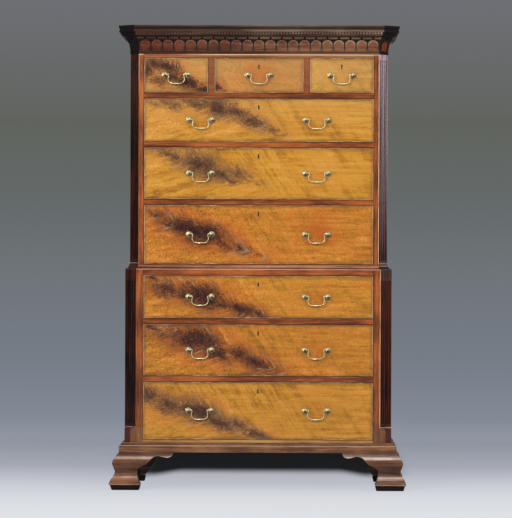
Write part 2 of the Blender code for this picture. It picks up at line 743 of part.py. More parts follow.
def build_front(drawer):
    """A front board with its keyhole liner, lock plate, rosettes and handle posts."""
    finishes = ("figured_mahogany", "brass")
    face = drawer.case.front
    back = face + FRONT_THICKNESS
    low, high = drawer_limits(drawer)
    made = solid(f"{drawer.name}_front", front_board(drawer), *finishes)

    def brass(name, maker):
        return solid(name, maker, *finishes, slot=1)

    key_z = drawer.floor + drawer.height - KEYHOLE_DROP
    liner = prism_y(keyhole_outline(drawer.centre, key_z, LINER_WIDTH),
                    (face - LINER_PROUD, face + LINER_DEPTH))
    hole = prism_y(keyhole_outline(drawer.centre, key_z, 0.0), (face - CUT_MARGIN, back))
    wide, proud, tall = LOCK_SIZE
    lock_top = drawer.floor + drawer.height - FRONT_CLEARANCE - BEAD_WIDTH
    lock = block((drawer.centre - wide / 2, drawer.centre + wide / 2),
                 (back - proud, back + proud), (lock_top - tall, lock_top))
    additions = [brass("liner", liner), brass("lock", lock)]
    cuts = [brass("keyhole", hole)]

    middle = drawer.floor + drawer.height / 2
    rosette = ((ROSETTE_RADIUS, -ROSETTE_SINK), (ROSETTE_RADIUS, 0.0), (POST_RADIUS, ROSETTE_CROWN),
               (POST_RADIUS, PIVOT_STANDOFF + POST_TIP))
    for handle in handle_centres(drawer):
        for side in (-1, 1):
            post_x = handle + side * POST_SPACING / 2
            additions.append(brass("post", turned(rosette, ROSETTE_SIDES, (post_x, face, middle))))
            cuts.append(brass("bore", bail_bore(post_x, side, face, middle)))

    box_low, box_high = box_levels(drawer)
    for centre in tail_centres(box_high - box_low):
        outline = list(tail(box_low + centre, back + GAP, GAP))
        for k in (0, 3):
            outline[k] = (back + CUT_MARGIN, outline[k][1])
        for x in ((low - CUT_MARGIN, low + BOX_SIDE + GAP), (high - BOX_SIDE - GAP, high + CUT_MARGIN)):
            cuts.append(solid("socket", prism_x(outline, x), *finishes))
    fuse(made, *additions)
    return cut(made, *cuts)


def build_box(drawer):
    """The drawer behind its front: two dovetailed sides, a back and a raised bottom."""
    low, high = drawer_limits(drawer)
    bottom, top = box_levels(drawer)
    shoulder = drawer.case.front + FRONT_THICKNESS + GAP
    rear = BACK_Y - BACK_THICKNESS - DRAWER_BACK_SPACE
    outline = [(rear, bottom), (shoulder, bottom)]
    for centre in tail_centres(top - bottom):
        outline += tail(bottom + centre, shoulder, 0.0)
    outline += [(shoulder, top), (rear, top)]
    made = solid(f"{drawer.name}_box", prism_x(outline, (low, low + BOX_SIDE)), "oak")
    other = solid("side", prism_x(outline, (high - BOX_SIDE, high)), "oak")
    deck = bottom + BOTTOM_RAISE
    groove = BOX_SIDE / 2
    x = (low + groove, high - groove)
    floor = solid("floor", block(x, (shoulder, rear - GAP), (deck, deck + BOX_BOTTOM)), "oak")
    back = solid("back", block(x, (rear - BOX_BACK - GAP, rear - GAP),
                               (deck + BOX_BOTTOM / 2, top - BACK_DROP)), "oak")
    return fuse(made, other, floor, back)


def build_bail(drawer, name, centre_x):
    """A swan-neck bail that hangs from its two pins, with its origin on their axis."""
    entry = POST_SPACING / 2 - POST_RADIUS
    half = [(share * POST_SPACING / 2, drop * BAIL_DROP, radius) for share, drop, radius in BAIL_COURSE]
    half += [(entry - PIN_SHOULDER, 0.0, PIN_RADIUS), (entry + PIN_LENGTH, 0.0, PIN_RADIUS)]
    course = [(-x, drop, radius) for x, drop, radius in half[:0:-1]] + half
    points = [Vector((x, 0.0, -drop)) for x, drop, _ in course]
    across = Vector((0.0, 1.0, 0.0))
    last = len(points) - 1
    rings = []
    for i, (point, (_, _, radius)) in enumerate(zip(points, course)):
        along = points[min(i + 1, last)] - points[max(i - 1, 0)]
        if i in (0, last):
            along = Vector((1.0, 0.0, 0.0))
        upward = along.normalized().cross(across)
        rings.append([point + across * a + upward * b for a, b in circle(radius, BAIL_SIDES)])
    made = solid(name, skin(rings), "brass")
    made.location = (centre_x, drawer.case.front - PIVOT_STANDOFF, drawer.floor + drawer.height / 2)
    return made


def drawer_list():
    """Every drawer, from the lowest up."""
    width = 2 * OPENING_HALF
    drawers = []
    floor = LOWER_FLOOR
    for row, height in zip((3, 2, 1), LOWER_OPENINGS):
        drawers.append(Drawer(f"lower_drawer_{row}", LOWER, 0.0, width, floor, height, 2))
        floor += height + LOWER_RAIL
    floor = UPPER_FLOOR
    for row, height in zip((3, 2, 1), UPPER_OPENINGS):
        drawers.append(Drawer(f"upper_drawer_{row}", UPPER, 0.0, width, floor, height, 2))
        floor += height + UPPER_RAIL
    end_width = (width - MIDDLE_DRAWER_WIDTH) / 2 - DIVIDER_WIDTH
    end_centre = OPENING_HALF - end_width / 2
    for word, centre, width in (("left", -end_centre, end_width), ("middle", 0.0, MIDDLE_DRAWER_WIDTH),
                                ("right", end_centre, end_width)):
        drawers.append(Drawer(f"short_drawer_{word}", UPPER, centre, width, floor,
                              UPPER_OPENINGS[-1], 1))
    return drawers


def build_drawer(drawer):
    """Front, box and bails on one empty, which slides along Y."""
    slide = bpy.data.objects.new(drawer.name, None)
    bpy.context.scene.collection.objects.link(slide)
    slide.location = (drawer.centre, drawer.case.front, drawer.floor)
    panels = [build_front(drawer), build_box(drawer)]
    centres = handle_centres(drawer)
    words = ("bail",) if len(centres) == 1 else ("bail_left", "bail_right")
    bails = [build_bail(drawer, f"{drawer.name}_{word}", centre)
             for word, centre in zip(words, centres)]
    for piece in panels:
        piece.data.transform(Matrix.Translation(-slide.location))
        piece.location = slide.location
    for piece in panels + bails:
        piece.location -= slide.location
        piece.parent = slide


def shelf_stops():
    edge = OPENING_HALF - STOP_INSET
    return (-edge, edge)


def build_lower_case():
    for side, word in ((-1, "left"), (1, "right")):
        build_side(LOWER, f"lower_side_{word}", side)
        build_post(LOWER, f"lower_post_{word}", side)
        build_foot(f"foot_front_{word}", side, True)
        build_foot(f"foot_rear_{word}", side, False)
    build_back(LOWER, "lower_back")
    build_shelf(LOWER, "lower_bottom_board", FOOT_HEIGHT, LOWER_FLOOR, BOTTOM_BOARD_THICKNESS,
                shelf_stops())
    level = LOWER_FLOOR
    for row, height in zip((2, 1), LOWER_OPENINGS):
        level += height
        build_shelf(LOWER, f"lower_dustboard_{row}", level, level + LOWER_RAIL, BOARD_THICKNESS,
                    shelf_stops())
        level += LOWER_RAIL
    build_lower_top_board()
    build_base_moulding()


def build_upper_case():
    for side, word in ((-1, "left"), (1, "right")):
        build_side(UPPER, f"upper_side_{word}", side)
        build_post(UPPER, f"upper_post_{word}", side)
    build_back(UPPER, "upper_back")
    build_shelf(UPPER, "upper_bottom_board", UPPER_BASE, UPPER_FLOOR, BOARD_THICKNESS, shelf_stops())
    short_centres = [drawer.centre for drawer in drawer_list() if drawer.handles == 1]
    level = UPPER_FLOOR
    for row, height in zip((3, 2, 1), UPPER_OPENINGS):
        level += height
        stops = short_centres if row == 1 else shelf_stops()
        build_shelf(UPPER, f"upper_dustboard_{row}", level, level + UPPER_RAIL, BOARD_THICKNESS, stops)
        level += UPPER_RAIL
    build_upper_top_rail()
    build_upper_top_board()
    build_frieze()
    build_cornice()


def main():
    clear_scene()
    build_lower_case()
    build_upper_case()
    for drawer in drawer_list():
        build_drawer(drawer)
    pieces = [item for item in bpy.data.objects if item.type == "MESH"]
    for piece in pieces:
        piece.data.shade_smooth()
        piece.data.set_sharp_from_angle(angle=math.radians(SMOOTH_ANGLE))
    print("pieces", len(pieces))


main()
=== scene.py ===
# %% [markdown]
# # A tallboy, dressed for the camera
# A tallboy is one chest of drawers standing on another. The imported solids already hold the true
# sizes and the joints. This lesson gives them what a cabinet maker and a polisher add: figured
# veneer, round beads, cast brass, moulded edges and the wear of two centuries of hands.

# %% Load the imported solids
import json
import math
from collections import namedtuple

import bmesh
import bpy
from mathutils import Matrix, Vector

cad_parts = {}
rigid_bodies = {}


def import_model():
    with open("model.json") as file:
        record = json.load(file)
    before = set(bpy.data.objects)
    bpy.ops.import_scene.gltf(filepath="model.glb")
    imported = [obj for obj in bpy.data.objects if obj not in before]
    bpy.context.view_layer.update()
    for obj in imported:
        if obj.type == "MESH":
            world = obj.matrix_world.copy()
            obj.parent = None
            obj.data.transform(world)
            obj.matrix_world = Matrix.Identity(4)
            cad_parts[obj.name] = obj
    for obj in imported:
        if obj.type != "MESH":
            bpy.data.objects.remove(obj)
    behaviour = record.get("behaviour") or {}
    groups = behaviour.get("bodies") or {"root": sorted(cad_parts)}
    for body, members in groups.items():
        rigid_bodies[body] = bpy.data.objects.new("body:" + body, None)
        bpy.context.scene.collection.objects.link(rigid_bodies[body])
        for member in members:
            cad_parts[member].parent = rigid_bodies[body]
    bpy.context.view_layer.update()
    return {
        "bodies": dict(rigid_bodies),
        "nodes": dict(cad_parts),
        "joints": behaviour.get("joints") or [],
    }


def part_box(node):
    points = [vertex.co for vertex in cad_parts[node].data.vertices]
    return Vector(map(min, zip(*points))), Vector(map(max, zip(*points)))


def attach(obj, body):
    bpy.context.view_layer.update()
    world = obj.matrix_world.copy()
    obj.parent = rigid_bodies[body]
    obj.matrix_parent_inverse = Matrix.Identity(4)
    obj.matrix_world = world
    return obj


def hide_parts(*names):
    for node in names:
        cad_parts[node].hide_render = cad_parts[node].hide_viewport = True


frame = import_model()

# %% [markdown]
# ## Measuring the two cases
# Every new piece has to sit where its solid sits. So nothing is typed twice: the planes of the two
# cases, their canted corners and all the drawers are read from the solids' own boxes.

# %% Planes of the two cases
POST_RETURN = 0.009                 # corner post behind its cant
CANT_GROWTH = 2 - math.sqrt(2)      # of a canted corner, for each step out
MITRE = math.tan(math.radians(22.5))        # run of the mitre beside a cant, for each step back

Case = namedtuple("Case", "front half cant foot head opening")


def measure_case(name):
    low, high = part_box(f"{name}_post_right")
    cant = high.y - low.y - POST_RETURN
    if name == "upper":
        cant -= (LOWER.half - high.x) * CANT_GROWTH
    return Case(low.y, high.x, cant, low.z, high.z, low.x)


LOWER = measure_case("lower")
UPPER = measure_case("upper")
BACK_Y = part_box("lower_back")[1].y
print("lower case", [round(v, 4) for v in LOWER])
print("upper case", [round(v, 4) for v in UPPER])

# %% The drawers
Drawer = namedtuple("Drawer", "name case left right bottom top")


def measure_drawer(name):
    low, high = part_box(f"{name}_front")
    case = LOWER if name.startswith("lower") else UPPER
    return Drawer(name, case, low.x, high.x, low.z, high.z)


drawers = [measure_drawer(body) for body in frame["bodies"] if f"{body}_front" in frame["nodes"]]
hinges = {joint["child"]: Vector(joint["pos_m"]) for joint in frame["joints"] if "pos_m" in joint}
print("drawers", len(drawers), "bails", len(hinges))

# %% [markdown]
# ## Shader sums
# Wood is a pile of small sums: streaks times a mask, plus blotches, minus wear. Blender's editor
# draws each sum as a node. Here a socket is wrapped in a small class whose operators add those Math
# nodes, so a pattern can be written as a line of arithmetic.

# %% A socket that can be added and multiplied
class Field:
    """One value that varies over a surface."""

    def __init__(self, paint, socket):
        self.paint = paint
        self.socket = socket

    def __add__(self, other):
        return self.paint.math("ADD", self, other)

    def __mul__(self, other):
        return self.paint.math("MULTIPLY", self, other)

    def __sub__(self, other):
        return self.paint.math("SUBTRACT", self, other)

    def __rsub__(self, other):
        return self.paint.math("SUBTRACT", other, self)

    def __truediv__(self, other):
        return self.paint.math("DIVIDE", self, other)

    def __abs__(self):
        return self.paint.math("ABSOLUTE", self)

    __radd__ = __add__
    __rmul__ = __mul__

    def beside(self, output):
        """Another output of the same node."""
        return Field(self.paint, self.socket.node.outputs[output])


# %% A finish, and the one method that adds its nodes
class Paint:
    """A Principled material that is built by sums."""

    def __init__(self, name, constants):
        self.material = bpy.data.materials.new(name)
        self.material.use_nodes = True
        self.tree = self.material.node_tree
        self.shader = self.tree.nodes["Principled BSDF"]
        for socket, value in constants.items():
            self.shader.inputs[socket].default_value = value
        self.where = self.node("ShaderNodeTexCoord", {}, {}, "Object")

    def node(self, kind, settings, values, output=0):
        """Adds a node: its settings first, then the values or links of its sockets."""
        made = self.tree.nodes.new(kind)
        for setting, value in settings.items():
            if setting == "stops":
                self.set_stops(made.color_ramp, value)
            else:
                setattr(made, setting, value)
        for place, value in values.items():
            self.feed(made.inputs[place], value)
        return Field(self, made.outputs[output])

    @staticmethod
    def set_stops(ramp, stops):
        while len(ramp.elements) > 1:
            ramp.elements.remove(ramp.elements[-1])
        ramp.elements[0].position = stops[0][0]
        ramp.elements[0].color = stops[0][1]
        for position, colour in stops[1:]:
            ramp.elements.new(position).color = colour

    def feed(self, socket, value):
        if isinstance(value, Field):
            self.tree.links.new(value.socket, socket)
        else:
            socket.default_value = value

    def surface(self, **fields):
        """Feeds the shader: base_color=..., roughness=..."""
        for name, value in fields.items():
            self.feed(self.shader.inputs[name.replace("_", " ").title()], value)
        return self.material

    def math(self, operation, *operands):
        return self.node("ShaderNodeMath", {"operation": operation}, dict(enumerate(operands)))

    def clamp(self, value):
        return self.node("ShaderNodeClamp", {}, {0: value})

    def ease(self, value, start, end):
        """0 below start and 1 above end, with a soft step between them."""
        return self.node("ShaderNodeMapRange", {"interpolation_type": "SMOOTHSTEP"},
                         {0: value, 1: start, 2: end})

    def near(self, value, place, reach):
        """1 at a place, 0 beyond its reach."""
        return 1 - self.ease(abs(value - place), 0.0, reach)

    def largest(self, values):
        """The largest of several fields."""
        found = values[0]
        for value in values[1:]:
            found = self.math("MAXIMUM", found, value)
        return found

    def mix(self, mask, under, over):
        return self.node("ShaderNodeMix", {"data_type": "RGBA"}, {0: mask, 6: under, 7: over}, 2)

    def multiply(self, colour, other):
        return self.node("ShaderNodeMix", {"data_type": "RGBA", "blend_type": "MULTIPLY"},
                         {0: 1.0, 6: colour, 7: other}, 2)

    def shade(self, colour, factor):
        """A colour made darker or lighter."""
        grey = self.node("ShaderNodeCombineColor", {}, {0: factor, 1: factor, 2: factor})
        return self.multiply(colour, grey)

    def grade(self, value, rows):
        """A colour from (value, colour) rows, blended between them."""
        first, last = rows[0][0], rows[-1][0]
        stops = [((place - first) / (last - first), colour) for place, colour in rows]
        return self.node("ShaderNodeValToRGB", {"stops": stops}, {0: (value - first) / (last - first)})

    def waxed_and_lit(self, colour, height, rows, warmth=(1.0, 1.0, 1.0)):
        """A colour under old wax and painted light and shade, from (height in mm, share of its lightness)
        rows.
        """
        shares = [(level / 1000, (*(share * part for part in warmth), 1.0)) for level, share in rows]
        return self.multiply(colour, self.grade(height, shares))

    def vector(self, x, y, z):
        return self.node("ShaderNodeCombineXYZ", {}, {0: x, 1: y, 2: z})

    def axes(self, vector):
        x = self.node("ShaderNodeSeparateXYZ", {}, {0: vector})
        return x, x.beside(1), x.beside(2)

    def depth_in(self, drawer):
        """How far inside the upright edges and the level edges of a drawer's front."""
        x, _, z = self.axes(self.where)
        return (self.math("MINIMUM", x - drawer.left, drawer.right - x),
                self.math("MINIMUM", z - drawer.bottom, drawer.top - z))

    def noise(self, vector, stretch, detail=2.0, roughness=0.5, distortion=0.0):
        """Noise from 0 to 1 with this many grains to a metre along X, Y and Z."""
        scaled = self.node("ShaderNodeVectorMath", {"operation": "MULTIPLY"}, {0: vector, 1: stretch})
        return self.node("ShaderNodeTexNoise", {},
                         {"Vector": scaled, "Scale": 1.0, "Detail": detail,
                          "Roughness": roughness, "Distortion": distortion})

    def spots(self, count, detail=2.0):
        """Even noise with this many grains to a metre."""
        return self.noise(self.where, (count, count, count), detail)

    def bump(self, height, depth):
        """A relief of this many metres."""
        return self.node("ShaderNodeBump", {}, {"Height": height, "Strength": 1.0, "Distance": depth})

    def corner(self, reach, **settings):
        """1 deep in corners and grooves, 0 in the open."""
        values = {"Distance": reach}
        return 1 - self.node("ShaderNodeAmbientOcclusion", {"samples": 6, **settings}, values, "AO")

    def edge(self, reach):
        """1 on sharp outer edges, 0 on flats."""
        return self.corner(reach, inside=True, only_local=True)


def tone(red, green, blue):
    """A colour from its 0 to 255 values on a screen."""
    linear = [(part / 255 / 12.92) if part < 10 else ((part / 255 + 0.055) / 1.055) ** 2.4
              for part in (red, green, blue)]
    return (*linear, 1.0)


# %% [markdown]
# ## Straight-grained woods
# The carcase is solid mahogany where it shows. Its grain is made of three things at three scales:
# broad bands of colour, fine lines, and pores, which are dark dashes under a millimetre wide. All
# three are the same noise, stretched along the grain. A polished edge wears lighter, and the corners
# are darkened, as wax and dust and as painted shade, so two more masks come from the shape itself.

# %% Grain directions, in grains to a metre along X, Y and Z
ALONG_X = (3.0, 60.0, 60.0)
ALONG_Y = (60.0, 3.0, 60.0)
ALONG_Z = (60.0, 60.0, 3.0)
LEVEL = (3.0, 3.0, 60.0)            # round a case: level on the front and on the sides


# %% One species of timber
ACROSS = 20                 # the wood is crossed where there are more grains to a metre than this
LINE_FINENESS = 7           # of the fine lines, compared with the bands
PORE_FINENESS = (30, 22)    # of the pores, along the grain and across it


def timber(paint, light, deep, grain):
    """Colour, fine lines and pores of a wood that is grown along one direction."""
    bands = paint.noise(paint.where, grain, 3.0, 0.6, 0.6)
    lines = paint.noise(paint.where, [step * LINE_FINENESS for step in grain], 2.0, 0.6)
    pores = paint.noise(paint.where, [step * PORE_FINENESS[step > ACROSS] for step in grain], 1.0)
    figure = paint.ease(bands * 0.6 + lines * 0.35 + paint.spots(7.0) * 0.4, 0.54, 0.82)
    colour = paint.mix(figure, deep, light)
    return paint.shade(colour, 1 - paint.ease(pores, 0.6, 0.75) * 0.35), lines, pores


# %% Wear, dirt, painted shade and polish
POLISH = {"IOR": 1.45, "Specular IOR Level": 0.4, "Coat Weight": 0.1, "Coat Roughness": 0.1}
MATTE = {"IOR": 1.45, "Specular IOR Level": 0.2}


def polished(paint, colour, lines, pores, gloss=0.24, worn=None, wear=0.35, dirt=0.55, reach=0.009):
    """Adds rubbed edges, corners darkened as dirt and as painted shade, and the polish itself."""
    if worn:
        patches = paint.ease(paint.spots(9.0) + lines * 0.4, 0.45, 0.85)
        colour = paint.mix(paint.ease(paint.edge(0.003), 0.35, 0.8) * patches * wear, colour, worn)
    # corners and grooves darkened, as dirt and as painted shade
    corner_grime_and_shade = paint.ease(paint.corner(reach), 0.25, 0.9)
    return paint.surface(base_color=paint.shade(colour, 1 - corner_grime_and_shade * dirt),
                         roughness=gloss + pores * 0.08 + corner_grime_and_shade * 0.2,
                         normal=paint.bump(pores * 0.5 + lines, 0.00008))


def wood(name, light, deep, grain, polish=POLISH, **wear):
    paint = Paint(name, polish)
    return polished(paint, *timber(paint, light, deep, grain), **wear)


# %% Straight-grained finishes
MAHOGANY_LIGHT = tone(172, 92, 38)
MAHOGANY_DEEP = tone(96, 40, 13)
WORN = tone(214, 176, 130)

side_finish = wood("side_mahogany", tone(150, 84, 44), tone(92, 44, 22), ALONG_Z, worn=WORN, dirt=0.4)
cover_finish = wood("cover_mahogany", tone(112, 78, 56), tone(70, 44, 32), ALONG_X, MATTE, gloss=0.6)
# near black: painted shade inside the keyholes and in the cornice's notches
hole_shade_finish = wood("hole_mahogany", tone(22, 12, 9), tone(10, 5, 4), ALONG_X, MATTE, gloss=0.7)
print("wood finishes", len([m for m in bpy.data.materials if "mahogany" in m.name]))

# %% [markdown]
# ## Mesh helpers
# Nearly every part of a case is one section carried along a line: a moulding goes round three
# sides, a bead goes round a drawer, a turned rosette goes round its axis. So one function that
# lays faces between equal rings of points makes most of the meshes, and small helpers make rings.

# %% Faces between rings
SMOOTH_ANGLE = math.radians(32)


def skin(rings, closed=False):
    """A closed shape from rings of equal count, which may close on themselves."""
    maker = bmesh.new()
    layers = [[maker.verts.new(point) for point in ring] for ring in rings]
    pairs = list(zip(layers, layers[1:]))
    if closed:
        pairs.append((layers[-1], layers[0]))
    else:
        maker.faces.new(layers[0])
        maker.faces.new(layers[-1])
    for low, high in pairs:
        for i, point in enumerate(low):
            j = (i + 1) % len(low)
            maker.faces.new((point, low[j], high[j], high[i]))
    return maker


def gathered(makers):
    """Several closed shapes in one mesh."""
    together = bmesh.new()
    for maker in makers:
        bmesh.ops.recalc_face_normals(maker, faces=maker.faces)
        mesh = bpy.data.meshes.new("shape")
        maker.to_mesh(mesh)
        maker.free()
        together.from_mesh(mesh)
        bpy.data.meshes.remove(mesh)
    return together


def prism(outline, levels, axis="Z"):
    """An outline of (a, b) points carried along X, Y or Z."""
    order = {"X": (2, 0, 1), "Y": (0, 2, 1), "Z": (0, 1, 2)}[axis]
    return skin([[[(a, b, level)[k] for k in order] for a, b in outline] for level in levels])


def block(x, y, z):
    """A box from three (low, high) pairs."""
    return prism([(x[0], y[0]), (x[1], y[0]), (x[1], y[1]), (x[0], y[1])], z)


def marked(maker, index):
    """A shape whose faces all take the same one of its finishes."""
    for face in maker.faces:
        face.material_index = index
    return maker


# %% Objects that ride on their bodies
EASE_STEPS = 2
EASE_ANGLE = math.radians(40)       # edges sharper than this are eased


def solid(name, maker, *finishes):
    """An object from a bmesh, with its finishes."""
    bmesh.ops.recalc_face_normals(maker, faces=maker.faces)
    mesh = bpy.data.meshes.new(name)
    maker.to_mesh(mesh)
    maker.free()
    for finish in finishes:
        mesh.materials.append(finish)
    made = bpy.data.objects.new(name, mesh)
    bpy.context.scene.collection.objects.link(made)
    return made


def piece(name, maker, body, slot, *finishes, stands_for=()):
    """A finished piece of the tallboy on one of its bodies."""
    made = solid(name, maker, *finishes)
    settle(made)
    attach(made, body)
    if stands_for:
        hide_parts(*stands_for)
    return made


def settle(made, angle=SMOOTH_ANGLE):
    made.data.shade_smooth()
    made.data.set_sharp_from_angle(angle=angle)


def soften(made, width):
    """Eases the sharp edges, as a scraper and sandpaper do."""
    step = made.modifiers.new("ease", "BEVEL")
    step.width = width
    step.segments = EASE_STEPS
    step.limit_method = "ANGLE"
    step.angle_limit = EASE_ANGLE
    step.use_clamp_overlap = True
    step.harden_normals = True


def cut(made, *cutters):
    """Cuts each cutter out of a piece; the cutters are used up."""
    for cutter in cutters:
        step = made.modifiers.new("cut", "BOOLEAN")
        step.operation = "DIFFERENCE"
        step.object = cutter
        bpy.context.view_layer.update()
        shaped = bpy.data.meshes.new_from_object(
            made.evaluated_get(bpy.context.evaluated_depsgraph_get()))
        made.modifiers.remove(step)
        made.data = shaped
        bpy.data.objects.remove(cutter)
    settle(made)


# %% Tables and smooth outlines
def mm(*rows):
    """Rows of sizes in millimetres, turned into metres."""
    return [tuple(size / 1000 for size in row) for row in rows]


def curve_through(points, steps):
    """Points along a smooth curve that passes through the given ones."""
    ends = [points[0], *points, points[-1]]
    course = []
    for before, start, end, after in zip(ends, ends[1:], ends[2:], ends[3:]):
        for k in range(steps):
            t = k / steps
            course.append(tuple(
                (2 * b + (c - a) * t + (2 * a - 5 * b + 4 * c - d) * t ** 2
                 + (3 * b - a - 3 * c + d) * t ** 3) / 2
                for a, b, c, d in zip(before, start, end, after)))
    course.append(tuple(points[-1]))
    return course


def circle(radius, sides):
    for k in range(sides):
        turn = 2 * math.pi * k / sides
        yield radius * math.cos(turn), radius * math.sin(turn)


# %% [markdown]
# ## Crotch veneer
# Each front is faced with veneer sawn where a branch leaves the trunk. There the grain of both
# crowds into a dark plume with feathery streaks that fall away on both sides, over a plain golden
# ground. A picture could be pasted on, but it would stop at one resolution and one angle. Instead
# the plume is a handful of soft ellipses, its eyes, which noise tears into streaks. All nine
# leaves were sawn from one log, so they share the recipe and differ only in where the eyes lie.

# %% The eyes of each leaf of veneer
Leaf = namedtuple("Leaf", "warmth depth blush eyes")

EYE_UNITS = (100, 100, 1000, 1000, 100)


def sawn(warmth, depth, blush, *eyes):
    """A leaf whose eyes are (% across, % up, half length in mm, half height in mm, % of darkness)."""
    return Leaf(warmth, depth, blush, [[size / unit for size, unit in zip(eye, EYE_UNITS)] for eye in eyes])


# warmth is the orange in the ground, depth its darkness and blush the red round the handles.
LEAVES = {
    "upper_drawer_1": sawn(0.10, 0.00, 0.15, (3, 90, 45, 14, 60), (12, 86, 59, 30, 66),
                           (22, 88, 68, 28, 78), (31.5, 78, 51, 34, 98), (40, 68, 51, 30, 90),
                           (47, 47, 54, 30, 90), (56, 26, 45, 22, 66)),
    "upper_drawer_2": sawn(0.08, 0.00, 0.10, (6, 93, 45, 14, 55), (13, 82, 75, 30, 80),
                           (25, 66, 50, 42, 105), (33.5, 48, 33, 30, 95), (37, 38, 39, 20, 85),
                           (41, 50, 45, 32, 80), (50, 30, 45, 24, 42)),
    "upper_drawer_3": sawn(0.44, 0.04, 0.95, (5.5, 84, 33, 24, 75), (11, 65, 43, 20, 80),
                           (20, 58, 68, 33, 110), (28, 52, 56, 33, 105), (34, 35, 39, 22, 85),
                           (42, 28, 45, 27, 72), (50, 14, 45, 15, 45)),
    "lower_drawer_1": sawn(0.34, 0.00, 0.35, (3, 95, 36, 11, 90), (10, 68, 48, 37, 90),
                           (19, 56, 45, 33, 95), (26, 52, 59, 39, 110), (34, 32, 41, 22, 85),
                           (42, 22, 55, 27, 95), (50, 10, 50, 20, 78)),
    "lower_drawer_2": sawn(0.36, 0.06, 0.45, (3.5, 94, 43, 13, 85), (9, 78, 39, 30, 72),
                           (19, 70, 54, 39, 100), (25, 70, 54, 37, 110), (33, 44, 36, 32, 95),
                           (41, 43, 45, 30, 88), (49, 26, 58, 28, 98)),
    "lower_drawer_3": sawn(0.15, 0.03, 0.25, (3, 76, 36, 36, 88), (11, 60, 45, 40, 90),
                           (19, 54, 45, 38, 92), (25, 48, 51, 37, 105), (33, 30, 56, 32, 92),
                           (41, 26, 45, 28, 80), (49, 10, 55, 22, 85)),
    "short_drawer_left": sawn(0.24, 0.06, 0.35, (6, 66, 28, 42, 85), (20, 80, 44, 30, 95),
                              (36, 74, 36, 26, 100), (22, 35, 45, 34, 66), (45, 46, 34, 26, 95),
                              (70, 27, 40, 26, 105), (94, 8, 34, 18, 105)),
    "short_drawer_middle": sawn(0.46, 0.10, 0.60, (3, 18, 24, 22, 80), (13, 0, 33, 7, 30)),
    "short_drawer_right": sawn(0.10, 0.02, 0.10, (42, 5, 23, 5, 30)),
}
EYE_FALL = 0.55             # darkness lost between the middle of an eye and its rim
FEATHER = 1.25              # lean of the streaks along the plume, for each step away from it
PLUME_SLOPE = math.radians(-20)
EYE_STRETCH = 1.45          # of the eyes along the plume, so that they run into one another
HANDLE_SHARE = (0.2425, 0.7575)     # places of the handles across a long drawer

# The plain wood in dark, middling and light streaks, where it is golden and where it is ruddy
GOLDEN = ((0.0, tone(126, 78, 22)), (0.3, tone(168, 110, 30)), (0.55, tone(192, 134, 40)),
          (0.8, tone(204, 150, 58)), (1.0, tone(214, 168, 92)))
RUDDY = ((0.0, tone(116, 54, 16)), (0.3, tone(154, 78, 20)), (0.55, tone(180, 100, 28)),
         (0.8, tone(196, 122, 40)), (1.0, tone(208, 144, 66)))
# The plume from its fringe to its core, in a warm leaf and in an ashen one
WARM_FIGURE = ((0.0, (160, 92, 34)), (0.3, (130, 70, 28)), (0.6, (94, 46, 20)), (0.8, (62, 29, 15)),
               (1.0, (36, 15, 9)))
ASHEN_FIGURE = ((0.0, (168, 122, 56)), (0.3, (146, 104, 54)), (0.6, (118, 84, 48)), (0.8, (96, 66, 40)),
                (1.0, (70, 44, 28)))
# a painted reflection that pales the fronts high on the case
UPPER_REFLECTION = tone(184, 148, 94)
QUILL = tone(216, 164, 112)
HEART = tone(112, 44, 32)
BLUSH = tone(172, 80, 26)


def figure_stops(warmth):
    """The plume's colours, between ashen at 0 and warm at 0.4 or more."""
    share = min(warmth / 0.4, 1.0)
    return [(place, tone(*(a + (w - a) * share for a, w in zip(ashen, warm))))
            for (place, ashen), (_, warm) in zip(ASHEN_FIGURE, WARM_FIGURE)]


# %% How near a point lies to an eye
def place_on(drawer, across, up):
    """A point of a drawer's front, from its shares across and up."""
    return (drawer.left + across * (drawer.right - drawer.left),
            drawer.bottom + up * (drawer.top - drawer.bottom))


def radius_in(paint, x, z, middle, length, height, slope=0.0):
    """0 in the middle of a leaning ellipse and 1 on its rim."""
    aside, above = x - middle[0], z - middle[1]
    along = (aside * math.cos(slope) + above * math.sin(slope)) / length
    over = (above * math.cos(slope) - aside * math.sin(slope)) / height
    return paint.math("SQRT", along * along + over * over)


def plume_field(paint, x, z, drawer, eyes):
    """1 in the dark of the plume, falling through 0 outside it."""
    return paint.largest([
        darkness - EYE_FALL * radius_in(paint, x, z, place_on(drawer, across, up),
                                        length * EYE_STRETCH, height, PLUME_SLOPE)
        for across, up, length, height, darkness in eyes])


def leaning(paint, x, z, drawer, eyes, drift, seed):
    """Places along and across streaks that lean away from the plume's darkest eye."""
    heart_x, heart_z = place_on(drawer, *max(eyes, key=lambda eye: eye[4])[:2])
    away = abs(z - heart_z - (x - heart_x) * math.tan(PLUME_SLOPE) + drift * 0.03)
    barb = (x - drawer.left) * math.cos(PLUME_SLOPE) + z * math.sin(PLUME_SLOPE) + away * FEATHER
    return paint.vector(barb, away, seed)


